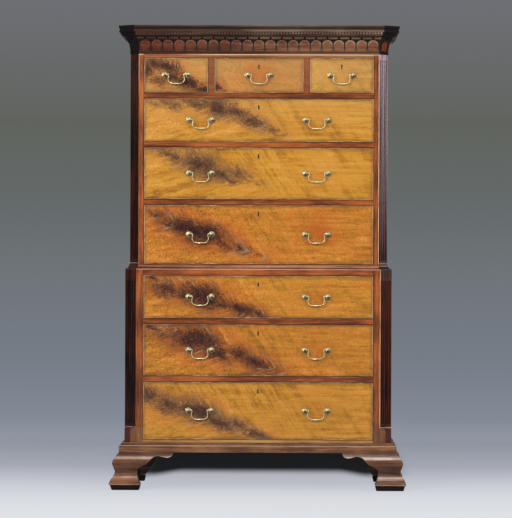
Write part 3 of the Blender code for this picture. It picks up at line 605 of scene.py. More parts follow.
# %% The plain wood round the plume
def ground_wood(paint, drawer, leaf, plume, torn, flame, flat, cloud):
    """Golden or ruddy streaks, which lie level towards the right, paler high on the case as a painted
    reflection.
    """
    x, _, z = paint.axes(paint.where)
    grain = paint.noise(flat, (6.0, 1.0, 85.0), 3.0, 0.62, 0.8)
    across = (x - drawer.left) / (drawer.right - drawer.left)
    level = paint.ease(across, 0.45, 0.95)
    mottle = (torn - 0.5) * (1.6 - paint.ease(across, 0.2, 0.65) * 0.9) * (leaf.warmth + 0.6)
    ground = (grain - 0.5) * (level * 0.5 + 0.6) + (flame - 0.5) * (1.5 - level * 0.7) + (cloud - 0.5) * 1.1
    ground = ground + mottle + (0.55 - leaf.depth)
    hue = (cloud - 0.5) * 1.8 + (flame - 0.5) * 1.6 - (torn - 0.5) * leaf.warmth * 2.5
    hue = hue + paint.ease(plume, -0.6, 0.2) * leaf.warmth
    ruddy = paint.ease(hue + leaf.warmth * 1.15, -0.05, 0.95)
    colour = paint.mix(ruddy, paint.grade(ground, GOLDEN), paint.grade(ground, RUDDY))
    # paler high on the case: painted reflection
    return paint.mix(paint.ease(z, 1.35, 1.75) * 0.45, colour, UPPER_REFLECTION)


def red_glow(paint, drawer, leaf, x, z, noise):
    """1 in the red patches round the handles."""
    grips = HANDLE_SHARE if drawer.right - drawer.left > 0.6 else (0.5,)
    glow = paint.largest([1 - radius_in(paint, x, z, place_on(drawer, share, 0.55), 0.12, 0.075)
                          for share in grips])
    return paint.clamp(paint.ease(glow + noise, 0.0, 1.0) * leaf.blush * 0.8)


# %% Veneer for one drawer
def veneer(drawer):
    leaf = LEAVES[drawer.name]
    paint = Paint(f"{drawer.name}_veneer", POLISH)
    x, _, z = paint.axes(paint.where)
    seed = drawer.left * 3.1 + drawer.bottom * 7.7
    flat = paint.vector(x, seed, z)
    shifts = paint.axes(paint.noise(flat, (24.0, 1.0, 30.0), 3.0, 0.62).beside("Color"))
    drift = [shift - 0.5 for shift in shifts]
    plume = plume_field(paint, x + drift[0] * 0.05, z + drift[1] * 0.04, drawer, leaf.eyes)
    lean = leaning(paint, x, z, drawer, leaf.eyes, drift[2], seed)
    coarse = paint.noise(lean, (60.0, 16.0, 1.0), 2.0, 0.5, 1.2)
    fine = paint.noise(lean, (190.0, 50.0, 1.0), 2.0, 0.6, 1.0)
    flame = paint.noise(lean, (30.0, 7.0, 1.0), 3.0, 0.6, 0.5)
    torn = paint.noise(flat, (85.0, 1.0, 100.0), 3.0, 0.6, 1.8)
    cloud = paint.noise(flat, (7.0, 1.0, 14.0), 3.0, 0.55, 1.0)

    colour = ground_wood(paint, drawer, leaf, plume, torn, flame, flat, cloud)
    glow = red_glow(paint, drawer, leaf, x, z + drift[1] * 0.06, (cloud - 0.5) * 0.6 + (flame - 0.5) * 1.2)
    colour = paint.mix(glow, colour, BLUSH)
    streaks = coarse * 1.3 + fine * 0.6 + torn * 2.0 - 1.95
    dark = paint.ease(plume + streaks * 0.85, 0.0, 1.05)
    colour = paint.mix(paint.ease(dark, 0.0, 0.3), colour, paint.grade(dark, figure_stops(leaf.warmth)))
    quills = paint.ease(coarse * 0.5 + fine * 0.2 + torn * 0.3, 0.53, 0.64) * paint.ease(plume, -0.3, 0.2)
    colour = paint.mix(quills * (1 - paint.ease(plume, 0.45, 0.9)) * 0.55, colour, QUILL)
    ember = paint.ease(paint.noise(flat, (110.0, 1.0, 22.0), 2.0, 0.6, 0.4), 0.5, 0.66)
    colour = paint.mix(ember * paint.ease(plume, 0.55, 1.0) * 0.6, colour, HEART)

    pores = paint.noise(paint.where, (160.0, 160.0, 1500.0), 1.0)
    colour = paint.shade(colour, 1 - paint.ease(pores, 0.6, 0.78) * 0.18)
    rim = paint.math("MINIMUM", *paint.depth_in(drawer))
    handled = (1 - paint.ease(rim + (cloud - 0.5) * 0.016, 0.003, 0.018)) * 0.32
    # corners and the veneer round the handles darkened: painted shade, with dirt
    corner_grime_and_shade = paint.ease(paint.corner(0.024), 0.08, 0.6)
    return paint.surface(base_color=paint.shade(colour, (1 - corner_grime_and_shade * 0.55) * (1 - handled)),
                         roughness=0.22 + pores * 0.08 + corner_grime_and_shade * 0.2 + handled * 0.2 + cloud * 0.04,
                         normal=paint.bump(pores + fine * 0.3, 0.00006))


veneers = {drawer.name: veneer(drawer) for drawer in drawers}
print("veneers", len(veneers), "eyes", sum(len(leaf.eyes) for leaf in LEAVES.values()))

# %% [markdown]
# ## Drawer fronts
# A front is an inch of board with a bead let into a rebate all round it, which takes the knocks.
# The bead's round nose catches a line of light, and that line is what draws the drawers from
# across a room. So the bead is a piece of its own, with its own paler finish: rubbed, with a painted
# highlight on its nose and painted shade in the gap outside it. The board is cut by its keyhole and
# by the dovetails of the drawer behind it.

# %% The keyhole
KEYHOLE_DROP = 0.0305       # centre of the round below the top of the front
KEYHOLE_RADIUS = 0.0033
KEYHOLE_SLOT = (0.0025, 0.0029)     # half width at the neck and at the foot
KEYHOLE_LENGTH = 0.0135
KEYHOLE_ARC = (-40, 220)
KEYHOLE_STEPS = 12


def keyhole(drawer, grow=0.0):
    """A round over a slot, all grown by the given width."""
    x = (drawer.left + drawer.right) / 2
    z = drawer.top - KEYHOLE_DROP
    radius = KEYHOLE_RADIUS + grow
    first, last = (math.radians(turn) for turn in KEYHOLE_ARC)
    turns = [first + (last - first) * k / KEYHOLE_STEPS for k in range(KEYHOLE_STEPS + 1)]
    neck, foot = (half + grow for half in KEYHOLE_SLOT)
    low = z - KEYHOLE_LENGTH - grow
    return [*((x + radius * math.cos(t), z + radius * math.sin(t)) for t in turns),
            (x - neck, z - radius), (x - foot, low), (x + foot, low), (x + neck, z - radius)]


# %% The board and its sockets
BEAD_WIDTH = 0.0036
BEAD_DEPTH = 0.011
JOINT = 0.0002              # line between two glued pieces
LOCK_PROUD = 0.0016         # lock plate behind the board
BOARD_EDGE = (0.0004, 0.0003)       # width and depth of its eased edge


def rectangle(drawer, inset, y):
    left, right, bottom, top = (drawer.left + inset, drawer.right - inset,
                                drawer.bottom + inset, drawer.top - inset)
    return [(left, y, bottom), (right, y, bottom), (right, y, top), (left, y, top)]


def welded(node):
    """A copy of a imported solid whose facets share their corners, for cutting with."""
    maker = bmesh.new()
    maker.from_mesh(frame["nodes"][node].data)
    bmesh.ops.remove_doubles(maker, verts=maker.verts, dist=0.00001)
    return solid("cutter", maker)


def build_board(drawer):
    face = drawer.case.front
    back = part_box(f"{drawer.name}_front")[1].y - LOCK_PROUD
    rebate = BEAD_WIDTH + JOINT
    width, depth = BOARD_EDGE
    rows = ((0.0, back), (0.0, face + BEAD_DEPTH), (rebate, face + BEAD_DEPTH), (rebate, face + depth),
            (rebate + width, face))
    finishes = veneers[drawer.name], hole_shade_finish
    made = piece(f"{drawer.name}_board", skin([rectangle(drawer, inset, y) for inset, y in rows]),
                 drawer.name, "figured_mahogany", *finishes, stands_for=[f"{drawer.name}_front"])
    hole = marked(prism(keyhole(drawer), (face - BEAD_DEPTH, back + BEAD_DEPTH), "Y"), 1)
    cut(made, solid("cutter", hole, *finishes), welded(f"{drawer.name}_box"))


# %% The brass liner of the keyhole
# (width beyond the hole, depth behind the face)
LINER_SECTION = mm((0, 0.9), (0, -0.4), (0.2, -0.5), (0.5, -0.5), (0.7, -0.1), (0.7, 0.9))


def build_liner(drawer):
    rings = [[(a, drawer.case.front + y, b) for a, b in keyhole(drawer, grow)] for grow, y in LINER_SECTION]
    piece(f"{drawer.name}_keyhole_liner", skin(rings, closed=True), drawer.name, "brass", brass_finish)


# %% The bead
BEAD_PROUD = 0.0018
BEAD_GAP_SHADE = 0.0011         # outer flank of a bead, painted black with shade
NOSE_STEPS = 8


def bead_wear_and_light(drawer):
    """Pale on the nose, where hands rub it and a highlight is painted, and painted black with shade in the
    gap outside it.
    """
    paint = Paint(f"{drawer.name}_bead_mahogany", POLISH)
    # the pale nose is rubbed wear and a painted highlight
    colour, lines, pores = timber(paint, tone(222, 188, 144), tone(164, 116, 74), (40.0, 40.0, 40.0))
    aside, above = paint.depth_in(drawer)
    upright = paint.ease(above - aside, 0.0, 0.002)
    dull = paint.ease(paint.spots(14.0, 3.0), 0.38, 0.58) * (0.8 - upright * 0.5)
    colour = paint.mix(dull, colour, tone(126, 80, 46))
    # painted shade in the gap outside the bead
    gap_shade = 1 - paint.ease(paint.math("MINIMUM", aside, above), 0.0, BEAD_GAP_SHADE * 2)
    colour = paint.mix(gap_shade * 0.95, colour, tone(40, 18, 10))
    return polished(paint, colour, lines, pores, dirt=0.4, reach=0.004)


def build_bead(drawer):
    face = drawer.case.front
    turns = [math.pi * k / NOSE_STEPS for k in range(NOSE_STEPS + 1)]
    nose = [(BEAD_WIDTH / 2 * (1 - math.cos(t)), face - BEAD_PROUD * math.sin(t)) for t in turns]
    foot = face + BEAD_DEPTH - JOINT
    rings = [rectangle(drawer, inset, y) for inset, y in ((0.0, foot), *nose, (BEAD_WIDTH, foot))]
    piece(f"{drawer.name}_bead", skin(rings, closed=True), drawer.name, "mahogany", bead_wear_and_light(drawer))


# %% [markdown]
# ## Brass
# The handles are cast brass, polished by use where fingers rub and brown where they don't. Metal
# has hardly any colour of its own beyond its reflections, so the tarnish, with painted shade, does
# the modelling: a corner mask darkens the roots of the posts with tarnish, the undersides and the
# sides away from the upper left are painted in shade, and a soft noise breaks up the gloss.

# %% Cast and rubbed brass
def cast_brass(name, dirt):
    paint = Paint(name, {"Coat Weight": 0.0})
    pitting = paint.spots(900.0)
    patches = paint.spots(120.0)
    corner_grime_and_shade = paint.ease(paint.corner(0.010), 0.15, 0.6)
    sideways, _, upward = paint.axes(paint.where.beside("Normal"))
    # painted shade on the undersides and on the sides away from the upper left
    under = 1 - paint.ease(upward - sideways * 0.5, -0.5, 0.4)
    tarnish_and_shade = paint.clamp(corner_grime_and_shade * 0.9 + under * 0.85 + paint.ease(patches, 0.5, 0.75) * 0.3 + dirt)
    colour = paint.mix(tarnish_and_shade, tone(244, 226, 172), tone(58, 50, 22))
    rough = 0.26 + patches * 0.14 + tarnish_and_shade * 0.25
    return paint.surface(base_color=colour, roughness=rough, metallic=0.8 - tarnish_and_shade * 0.2,
                         normal=paint.bump(pitting + patches, 0.00005))


brass_finish = cast_brass("old_brass", 0.0)
# the balls of the posts: darker tarnish and painted shade
ball_finish = cast_brass("dull_brass", 0.45)

# %% [markdown]
# ## Handles
# Each swan-neck bail hangs between two posts that stand on domed rosettes. The dome and the post
# are one turning, so their outline goes round an axis. The bail is a round bar whose thickness
# changes along its bend: thin at the swan's neck and swelling to a baluster at the grip.

# %% Rosettes and posts
HANDS = ((-1, "left"), (1, "right"))
POST_SPACING = 0.0915
# (radius, distance out from the board)
ROSETTE = mm((12, 0), (12.4, 1), (12, 1.8), (11.2, 2), (10.5, 1.3), (9.9, 1.2), (9.2, 3), (7.8, 4.6),
             (6, 5.4), (4.4, 5.6), (3.7, 6.8), (3.4, 8.5), (3.6, 10), (4.2, 10.6), (4.2, 11.2), (4, 11.8))
BALL_RADIUS = 0.0047
BALL_STEPS = 8
BALL_END = math.pi / 2 - 0.12       # its last ring, just short of the pole
POST_NECK = 0.0056          # the post begins here, out from the board
TURNING_SIDES = 28


def turned(outline, centre, sides=TURNING_SIDES):
    """A turning that stands out towards the viewer, or away where its distances are negative."""
    x, y, z = centre
    return skin([[(x + a, y - out, z + b) for a, b in circle(radius, sides)] for radius, out in outline])


def build_posts(drawer, name, pivot):
    face = drawer.case.front
    start = -math.acos(ROSETTE[-1][0] / BALL_RADIUS)
    turns = [start + (BALL_END - start) * k / BALL_STEPS for k in range(1, BALL_STEPS + 1)]
    ball = [(BALL_RADIUS * math.cos(t), face - pivot.y + BALL_RADIUS * math.sin(t)) for t in turns]
    for side, hand in HANDS:
        maker = turned([*ROSETTE, *ball], (pivot.x + side * POST_SPACING / 2, face, pivot.z))
        for part in maker.faces:
            part.material_index = int(part.calc_center_median().y < face - POST_NECK)
        piece(f"{name}_post_{hand}", maker, drawer.name, "brass", brass_finish, ball_finish)


# %% The bail
# (share of half the post spacing, drop below the pins, radius), from the grip to the pin
BAIL_COURSE = ((0.0, 0.0345, 0.0046), (0.06, 0.0345, 0.0044), (0.16, 0.0343, 0.0034),
               (0.25, 0.0340, 0.0026), (0.29, 0.0338, 0.0030), (0.33, 0.0336, 0.0024),
               (0.45, 0.0323, 0.0021), (0.55, 0.0300, 0.0020), (0.64, 0.0260, 0.0020),
               (0.695, 0.0205, 0.0020), (0.715, 0.0143, 0.0020), (0.69, 0.0088, 0.0020),
               (0.66, 0.0040, 0.0020), (0.665, -0.0008, 0.0020), (0.71, -0.0034, 0.0019),
               (0.77, -0.0028, 0.0017), (0.83, -0.0006, 0.0016))
PLAIN_GRIP = 0.0030         # thickest radius of the slimmer bails of the top rows
SWELLING_TOP = 1.1          # the full grips are on the drawers below this height
PIN_START = 0.9             # shares of half the post spacing
PIN_END = 0.98
PIN_RADIUS = 0.0016
BAIL_SIDES = 12


def build_bail(name, pivot):
    thickest = PLAIN_GRIP if pivot.z > SWELLING_TOP else 1.0
    reach = POST_SPACING / 2
    half = curve_through([(share * reach, drop, min(radius, thickest))
                          for share, drop, radius in BAIL_COURSE], 3)
    half += [(share * reach, 0.0, PIN_RADIUS) for share in (PIN_START, PIN_END)]
    course = [(-x, drop, radius) for x, drop, radius in half[:0:-1]] + half
    across = Vector((0.0, 1.0, 0.0))
    rings = []
    for i, (x, drop, radius) in enumerate(course):
        before, after = course[max(i - 1, 0)], course[min(i + 1, len(course) - 1)]
        along = Vector((after[0] - before[0], 0.0, before[1] - after[1])).normalized()
        upward = along.cross(across)
        middle = pivot + Vector((x, 0.0, -drop))
        rings.append([middle + across * a + upward * b for a, b in circle(radius, BAIL_SIDES)])
    piece(f"{name}_bar", skin(rings), name, "brass", brass_finish, stands_for=[name])


# %% [markdown]
# ## Locks
# Behind each keyhole a brass lock is screwed to the back of the front. It is seen only when the
# drawer stands open, but then it is the first thing in it. The plate is a bevelled box, and each
# screw is a turned dome, sunk so that it stays flush with the plate.

# %% Lock plates with their screws
LOCK_WIDTH = 0.056
LOCK_HEIGHT = 0.040
LOCK_DROP = 0.0045          # top of the plate below the top of the front
SCREW_INSET = 0.006
SCREW_SINK = 0.0016         # of a countersunk head in the plate
SCREW_SIDES = 14
SCREW_DOME = mm((3.4, 0), (3.3, -0.4), (2.6, -0.9), (1.4, -1.2), (0.3, -1.3))


def build_lock(drawer):
    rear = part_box(f"{drawer.name}_front")[1].y
    middle = (drawer.left + drawer.right) / 2
    across = (middle - LOCK_WIDTH / 2, middle + LOCK_WIDTH / 2)
    up = (drawer.top - LOCK_DROP - LOCK_HEIGHT, drawer.top - LOCK_DROP)
    plate = piece(f"{drawer.name}_lock_plate", block(across, (rear - LOCK_PROUD + JOINT, rear), up),
                  drawer.name, "brass", brass_finish)
    cut(plate, solid("cutter", prism(keyhole(drawer), (rear - 2 * LOCK_PROUD, rear + LOCK_PROUD), "Y")))
    soften(plate, 0.0004)
    screws = [turned(SCREW_DOME, (x, rear - SCREW_SINK, z), SCREW_SIDES)
              for x in (across[0] + SCREW_INSET, across[1] - SCREW_INSET)
              for z in (up[1] - SCREW_INSET, up[0] + SCREW_INSET)]
    piece(f"{drawer.name}_lock_screws", gathered(screws), drawer.name, "brass", brass_finish)


# %% Hang everything on the drawers
for drawer in drawers:
    for build in (build_board, build_bead, build_liner, build_lock):
        build(drawer)
    for name, pivot in hinges.items():
        if name.startswith(drawer.name + "_bail"):
            build_posts(drawer, name, pivot)
            build_bail(name, pivot)

# %% [markdown]
# ## Canted corners
# The corners of both cases are cut off at 45 degrees and fluted, and the flutes stop in round ends.
# They could be carved with one cutter for each flute. It is cleaner to lay them in the rings
# themselves: each ring runs across the stile and the flutes, and near the ends of a flute the
# rings lie close together while its radius closes like a ball.

# %% Where the flutes lie
FLUTE_RADIUS = 0.0038
FLUTE_PITCH = 0.0112
FLUTE_EDGE = 0.0062         # least distance from a flute's middle to the arris
FLUTE_POINTS = 10
FLUTE_ENDS = {"lower": (0.012, 0.0403), "upper": (0.036, 0.023)}    # plain wood below and above
FLUTE_SHADE = 0.0007        # a flute is painted in shade below this depth


def spaced(length, pitch, width):
    """Middles of as many pieces of this width as a length holds, evenly about its middle."""
    count = int((length - width) / pitch + 0.001) + 1
    return [length / 2 + (k - (count - 1) / 2) * pitch for k in range(count)]


def flute_levels(foot, head):
    """(height, radius) rows of a flute with ball ends."""
    turns = [math.radians(angle) for angle in (0, 20, 40, 65, 90)]
    ends = [(FLUTE_RADIUS * (1 - math.cos(t)), FLUTE_RADIUS * math.sin(t)) for t in turns]
    ends.append((FLUTE_RADIUS + FLUTE_SHADE, FLUTE_RADIUS))
    return ([(foot + rise, radius) for rise, radius in ends]
            + [(head - rise, radius) for rise, radius in ends[::-1]])


def cant_columns(case):
    """(place across the cant, middle of its flute) for each point of a ring."""
    middles = spaced(case.cant * math.sqrt(2), FLUTE_PITCH, 2 * FLUTE_EDGE)
    return [(middle - FLUTE_RADIUS * math.cos(math.pi * k / FLUTE_POINTS), middle)
            for middle in middles for k in range(FLUTE_POINTS + 1)]


# %% Corner posts with their stiles
ARRIS = 0.0012
ARRIS_ANGLE = math.radians(20)      # keeps the narrow arris apart from the faces beside it
PLINTH_TOP = 0.0900         # above the foot of the case
PLINTH_SHOULDER = 0.0070
STILE, CANT, ARRIS_LINE, FLUTE = range(4)


def build_corner(case, word, side, hand):
    start = Vector((case.half - case.cant, case.front))
    along = Vector((1.0, 1.0)).normalized()
    inward = Vector((-1.0, 1.0)).normalized()
    cant_end = case.front + case.cant
    foot = case.foot + (PLINTH_TOP + PLINTH_SHOULDER if word == "lower" else 0.0)
    low, high = FLUTE_ENDS[word]

    def ring(level, radius):
        flutes = [start + along * place + inward * math.sqrt(max(radius ** 2 - (place - middle) ** 2, 0.0))
                  for place, middle in cant_columns(case)]
        points = [(case.opening, case.front), (start.x - ARRIS, case.front), start + along * ARRIS, *flutes,
                  (case.half, cant_end), (case.half, cant_end + POST_RETURN),
                  (case.opening, cant_end + POST_RETURN)]
        return [(side * x, y, level) for x, y in points]

    rows = [(foot, 0.0), *flute_levels(foot + low, case.head - high), (case.head, 0.0)]
    maker = skin([ring(level, radius) for level, radius in rows])
    for face in maker.faces:
        middle = face.calc_center_median()
        place = Vector((abs(middle.x), middle.y)) - start
        across = place.dot(along)
        if middle.y < cant_end + 0.002:
            face.material_index = ARRIS_LINE if abs(across) < ARRIS else (CANT if across > 0 else STILE)
        # faces deep in a flute take the flute's painted shade
        if face.material_index == CANT and place.dot(inward) > FLUTE_SHADE:
            face.material_index = FLUTE
    made = piece(f"{word}_corner_{hand}", maker, "carcase", "dark_mahogany", stile_finish, cant_finish,
                 arris_finish, flute_shade_finish, stands_for=[f"{word}_post_{hand}"])
    settle(made, ARRIS_ANGLE)


# %% Finishes of the stiles
GAP_SHADE_REACH = 0.0030              # reach of the painted shade beside a drawer
PALE_EDGE_WEAR_AND_HIGHLIGHT = tone(222, 184, 146)     # the rubbed line at the top of the upper case, with a painted highlight
PALE_REACH = (0.0050, 0.0030)


def stile_wood():
    """Orange mahogany, with a line of painted shade beside the drawers and a rubbed, painted highlight at the
    top.
    """
    paint = Paint("stile_mahogany", POLISH)
    colour, lines, pores = timber(paint, MAHOGANY_LIGHT, MAHOGANY_DEEP, ALONG_Z)
    x, _, z = paint.axes(paint.where)
    # a pale line at the top: rubbed wear and a painted highlight
    pale_wear_and_highlight = paint.ease(z, *(UPPER.head - reach for reach in PALE_REACH))
    colour = paint.mix(pale_wear_and_highlight * 0.85, colour, PALE_EDGE_WEAR_AND_HIGHLIGHT)
    patches = paint.noise(paint.where, (3.0, 3.0, 9.0), 3.0)
    fade = paint.ease(x, -0.5, 0.5) * 0.1 + paint.ease(patches, 0.4, 0.65) * 0.4
    # a line of painted shade beside the drawers
    colour = paint.shade(colour, (1.1 - fade) * (1 - paint.near(abs(x), LOWER.opening, GAP_SHADE_REACH) * 0.7))
    return polished(paint, colour, lines, pores, worn=WORN)


def arris_wood():
    """Pale on the right and high up, partly rubbed wear and partly a painted highlight, and less on the left.
    """
    paint = Paint("worn_arris", POLISH)
    colour, lines, pores = timber(paint, tone(158, 100, 62), tone(112, 60, 34), ALONG_Z)
    x, _, z = paint.axes(paint.where)
    # paler on the right and high up: rubbed wear and a painted highlight
    rubbed_and_lit = paint.largest([paint.ease(x, -0.1, 0.1), paint.ease(z, UPPER.head - 0.2, UPPER.head)])
    colour = paint.mix(rubbed_and_lit * (paint.ease(lines, 0.3, 0.6) * 0.6 + 0.3), colour, tone(236, 200, 164))
    return polished(paint, colour, lines, pores)


stile_finish = stile_wood()
arris_finish = arris_wood()

# %% Finishes of the cants
DARK_POLISH = {"IOR": 1.45, "Specular IOR Level": 0.15, "Coat Weight": 0.1, "Coat Roughness": 0.12}
# a pale lilac painted reflection on the right cants
PAINTED_REFLECTION = tone(164, 142, 150)


def cant_wood(name, light, deep, reflection_strength):
    """Dark red wood, painted darker with shade on the left, and with a pale painted reflection high on the
    right.
    """
    paint = Paint(name, DARK_POLISH)
    colour, lines, pores = timber(paint, light, deep, ALONG_Z)
    x, _, z = paint.axes(paint.where)
    stripes = paint.ease(paint.noise(paint.where, (90.0, 90.0, 1.5), 1.0), 0.38, 0.6)
    reflection = paint.ease(x, -0.2, 0.3) * paint.ease(z, LOWER.head, UPPER.head) * (stripes * 0.75 + 0.25)
    # painted shade on the left cants, and the painted reflection high on the right
    colour = paint.mix(reflection * reflection_strength, paint.shade(colour, paint.ease(x, -0.3, 0.3) * 0.3 + 0.7), PAINTED_REFLECTION)
    return polished(paint, colour, lines, pores, dirt=0.3, reach=0.006)


cant_finish = cant_wood("cant_mahogany", tone(92, 40, 24), tone(28, 11, 7), 0.9)
# the flutes: the cant's wood, painted darker with shade
flute_shade_finish = cant_wood("flute_mahogany", tone(40, 16, 11), tone(12, 5, 4), 0.6)
for side, hand in HANDS:
    build_corner(LOWER, "lower", side, hand)
    build_corner(UPPER, "upper", side, hand)
print("flute points of a ring", [len(cant_columns(case)) for case in (LOWER, UPPER)])

# %% Plinth blocks and astragals
PLINTH_CANT = 0.024
PLINTH_LINE = 0.0006        # step of the line under the shoulder
# (share of the shoulder's height, cant)
PLINTH_CURVE = ((0.3, PLINTH_CANT + 0.004), (0.6, LOWER.cant - 0.008))
ASTRAGAL_MARGIN = 0.0006    # of a string past the ends of its cant
UP = Vector((0.0, 0.0, 1.0))


def build_plinth_block(side, hand):
    case = LOWER
    rear = case.front + case.cant + POST_RETURN
    top = case.foot + PLINTH_TOP
    rows = ((case.foot, PLINTH_CANT), (top - PLINTH_LINE, PLINTH_CANT), (top, PLINTH_CANT + PLINTH_LINE),
            *((top + PLINTH_SHOULDER * share, cant) for share, cant in PLINTH_CURVE),
            (top + PLINTH_SHOULDER - JOINT, case.cant))
    rings = [[(side * case.opening, case.front, level), (side * (case.half - cant), case.front, level),
              (side * case.half, case.front + cant, level), (side * case.half, rear, level),
              (side * case.opening, rear, level)] for level, cant in rows]
    made = piece(f"lower_plinth_block_{hand}", skin(rings), "carcase", "mahogany", block_finish)
    soften(made, 0.0006)


def build_astragal(name, case, level, radius, side):
    """A half-round string across the canted face."""
    outward = Vector((1.0, -1.0, 0.0)).normalized()
    turns = [math.radians(90 - 20 * k) for k in range(10)]
    rings = []
    for point in (Vector((case.half - case.cant - ASTRAGAL_MARGIN, case.front, level)),
                  Vector((case.half, case.front + case.cant + ASTRAGAL_MARGIN, level))):
        arc = [point + (outward * math.cos(t) + UP * math.sin(t)) * radius for t in turns]
        back = [arc[-1] - outward * radius, arc[0] - outward * radius]
        rings.append([(side * p.x, p.y, p.z) for p in (*arc, *back)])
    piece(name, skin(rings), "carcase", "mahogany", string_finish)


def on_cant(paint, case, cant):
    """1 on a canted corner, 0 past the mitres on either side of it."""
    x, y, _ = paint.axes(paint.where)
    past_front = paint.ease(abs(x) - (case.half - cant) - (case.front - y) * MITRE, -0.0004, 0.0004)
    past_cant = paint.ease(y - (case.front + cant) + (abs(x) - case.half) * MITRE, -0.0004, 0.0004)
    return past_front * (1 - past_cant)


def block_wood():
    """Brown on the front and dark red on the cant, which is partly its own darker wood and partly painted
    shade.
    """
    paint = Paint("block_mahogany", POLISH)
    colour, lines, pores = timber(paint, tone(136, 92, 54), tone(92, 52, 28), ALONG_Z)
    # the cant: dark red wood with painted shade
    colour = paint.mix(on_cant(paint, LOWER, PLINTH_CANT), colour, tone(78, 30, 20))
    return polished(paint, colour, lines, pores, worn=WORN, wear=0.6)


block_finish = block_wood()
string_finish = wood("string_mahogany", tone(176, 150, 132), tone(110, 82, 68), (30.0, 30.0, 30.0), worn=WORN,
                     wear=0.6)
# (height above the foot of the case, radius)
ASTRAGALS = {"upper": (0.0250, 0.0022), "lower": (0.0985, 0.0026)}
for side, hand in HANDS:
    build_plinth_block(side, hand)
    for case, word in ((UPPER, "upper"), (LOWER, "lower")):
        height, radius = ASTRAGALS[word]
        build_astragal(f"{word}_astragal_{hand}", case, case.foot + height, radius, side)

# %% [markdown]
# ## Mouldings
# A joiner planes a moulding in lengths and mitres it round the case. In Blender it is one outline,
# given as how far each point stands out and how high it is, that is placed at every corner of the
# case's plan. A quarter round and a hollow are both quarters of an ellipse, and differ only in
# whether they leave their start upright or level.

# %% Plans and outlines
def plan(offset, case, back=0.0):
    """Six plan points round a case with canted corners, stepped out by offset."""
    half = case.half + offset
    front = case.front - offset
    leg = case.cant + offset * CANT_GROWTH
    rear = BACK_Y - back
    return ((-half, rear), (-half, front + leg), (-half + leg, front),
            (half - leg, front), (half, front + leg), (half, rear))


def square_plan(offset, case):
    half = case.half + offset
    front = case.front - offset
    return (-half, BACK_Y), (-half, front), (half, front), (half, BACK_Y)


def quarter(start, end, upright=True, steps=5):
    """A quarter ellipse from one (out, height) point to the next."""
    points = []
    for k in range(steps + 1):
        turn = math.pi / 2 * k / steps
        first, second = math.sin(turn), 1 - math.cos(turn)
        across, up = (second, first) if upright else (first, second)
        points.append((start[0] + (end[0] - start[0]) * across, start[1] + (end[1] - start[1]) * up))
    return points


def along_walls(outline, base, plan_of, case):
    """A moulding round the front and sides, open at the back."""
    stations = len(plan_of(0.0, case))
    return skin([[(*plan_of(out, case)[k], base + height) for out, height in outline]
                 for k in range(stations)])


def hoop(outline, base, case, thickness):
    """The same with a plain inside and a plain rail across the back."""
    rings = [[(*point, base + height) for point in plan(out, case)] for out, height in outline]
    inner = plan(-thickness, case, thickness)
    rings += [[(*point, base + height) for point in inner] for height in (outline[-1][1], outline[0][1])]
    return skin(rings, closed=True)


# %% Moulded wood
# pale crests: rubbed wear and painted highlights
RUBBED_CREST_HIGHLIGHT = tone(206, 174, 152)
CANT_SHADOW = tone(44, 20, 14)
# the hidden rear faces: bare wood and painted shade
BARE_WOOD_AND_SHADE = tone(40, 28, 25)


def moulded_wood(name, light, deep, rows, foot, crest_wear_and_highlights=(), cant=0.0, bare=False, **wear):
    """Wood under old wax and painted light and shade by height, with pale crests of (height above the foot
    and reach in mm, strength) that are rubbed wear and painted highlights, dark cants if it has any, and
    dark rear faces, bare wood and painted shade, if they are hidden."""
    paint = Paint(name, POLISH)
    colour, lines, pores = timber(paint, light, deep, LEVEL)
    x, y, z = paint.axes(paint.where)
    colour = paint.waxed_and_lit(colour, z - foot, rows)
    patches = paint.ease(paint.spots(16.0, 3.0), 0.3, 0.6) * 0.5 + 0.5
    for height, reach, strength in crest_wear_and_highlights:
        crest_wear_and_highlight = paint.near(z, foot + height / 1000, reach / 1000)
        colour = paint.mix(crest_wear_and_highlight * patches * strength, colour, RUBBED_CREST_HIGHLIGHT)
    if cant:
        colour = paint.mix(on_cant(paint, LOWER, cant) * 0.9, colour, CANT_SHADOW)
    if bare:
        rear_bare_and_shaded = paint.ease(y, 0.0, 0.05) * (1 - paint.ease(abs(x), LOWER.half - 0.004, LOWER.half))
        colour = paint.mix(rear_bare_and_shaded * 0.85, colour, BARE_WOOD_AND_SHADE)
    return polished(paint, colour, lines, pores, **wear)


# %% The base moulding
BASE_OUTLINE = mm((20.5, 0), (20.5, 22.2), *quarter((20.2, 22.6), (15, 28.4)), (13.8, 28.6),
                  *quarter((13.6, 28.8), (6.4, 35), upright=False), (6, 35.2), (6, 36.4),
                  *quarter((5.6, 36.6), (4.5, 38.5)), (0.3, 38.5), (0.3, 0))
# (height in mm, share of lightness): old wax, and a painted highlight on the ovolo
BASE_ROWS = ((0, 0.9), (15, 1.0), (23.5, 1.0), (24.6, 1.3), (27.8, 1.3), (29, 0.75), (33, 0.7), (36, 1.0),
             (38.5, 0.9))
base_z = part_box("base_moulding")[0].z
base_finish = moulded_wood("base_mahogany", tone(146, 98, 60), tone(84, 48, 28), BASE_ROWS, base_z,
                           [(26.2, 3, 0.5)], worn=WORN, wear=0.5)
piece("base_moulding_run", along_walls(BASE_OUTLINE, base_z, square_plan, LOWER), "carcase", "mahogany",
      base_finish, stands_for=["base_moulding"])

# %% The waist moulding
WAIST_OUTLINE = mm((0, 0), (0, 3), (-0.6, 3.6), *quarter((-0.8, 3.8), (-14.8, 18.2), upright=False, steps=8),
                   (-15.6, 18.4), (-15.6, 20.6))
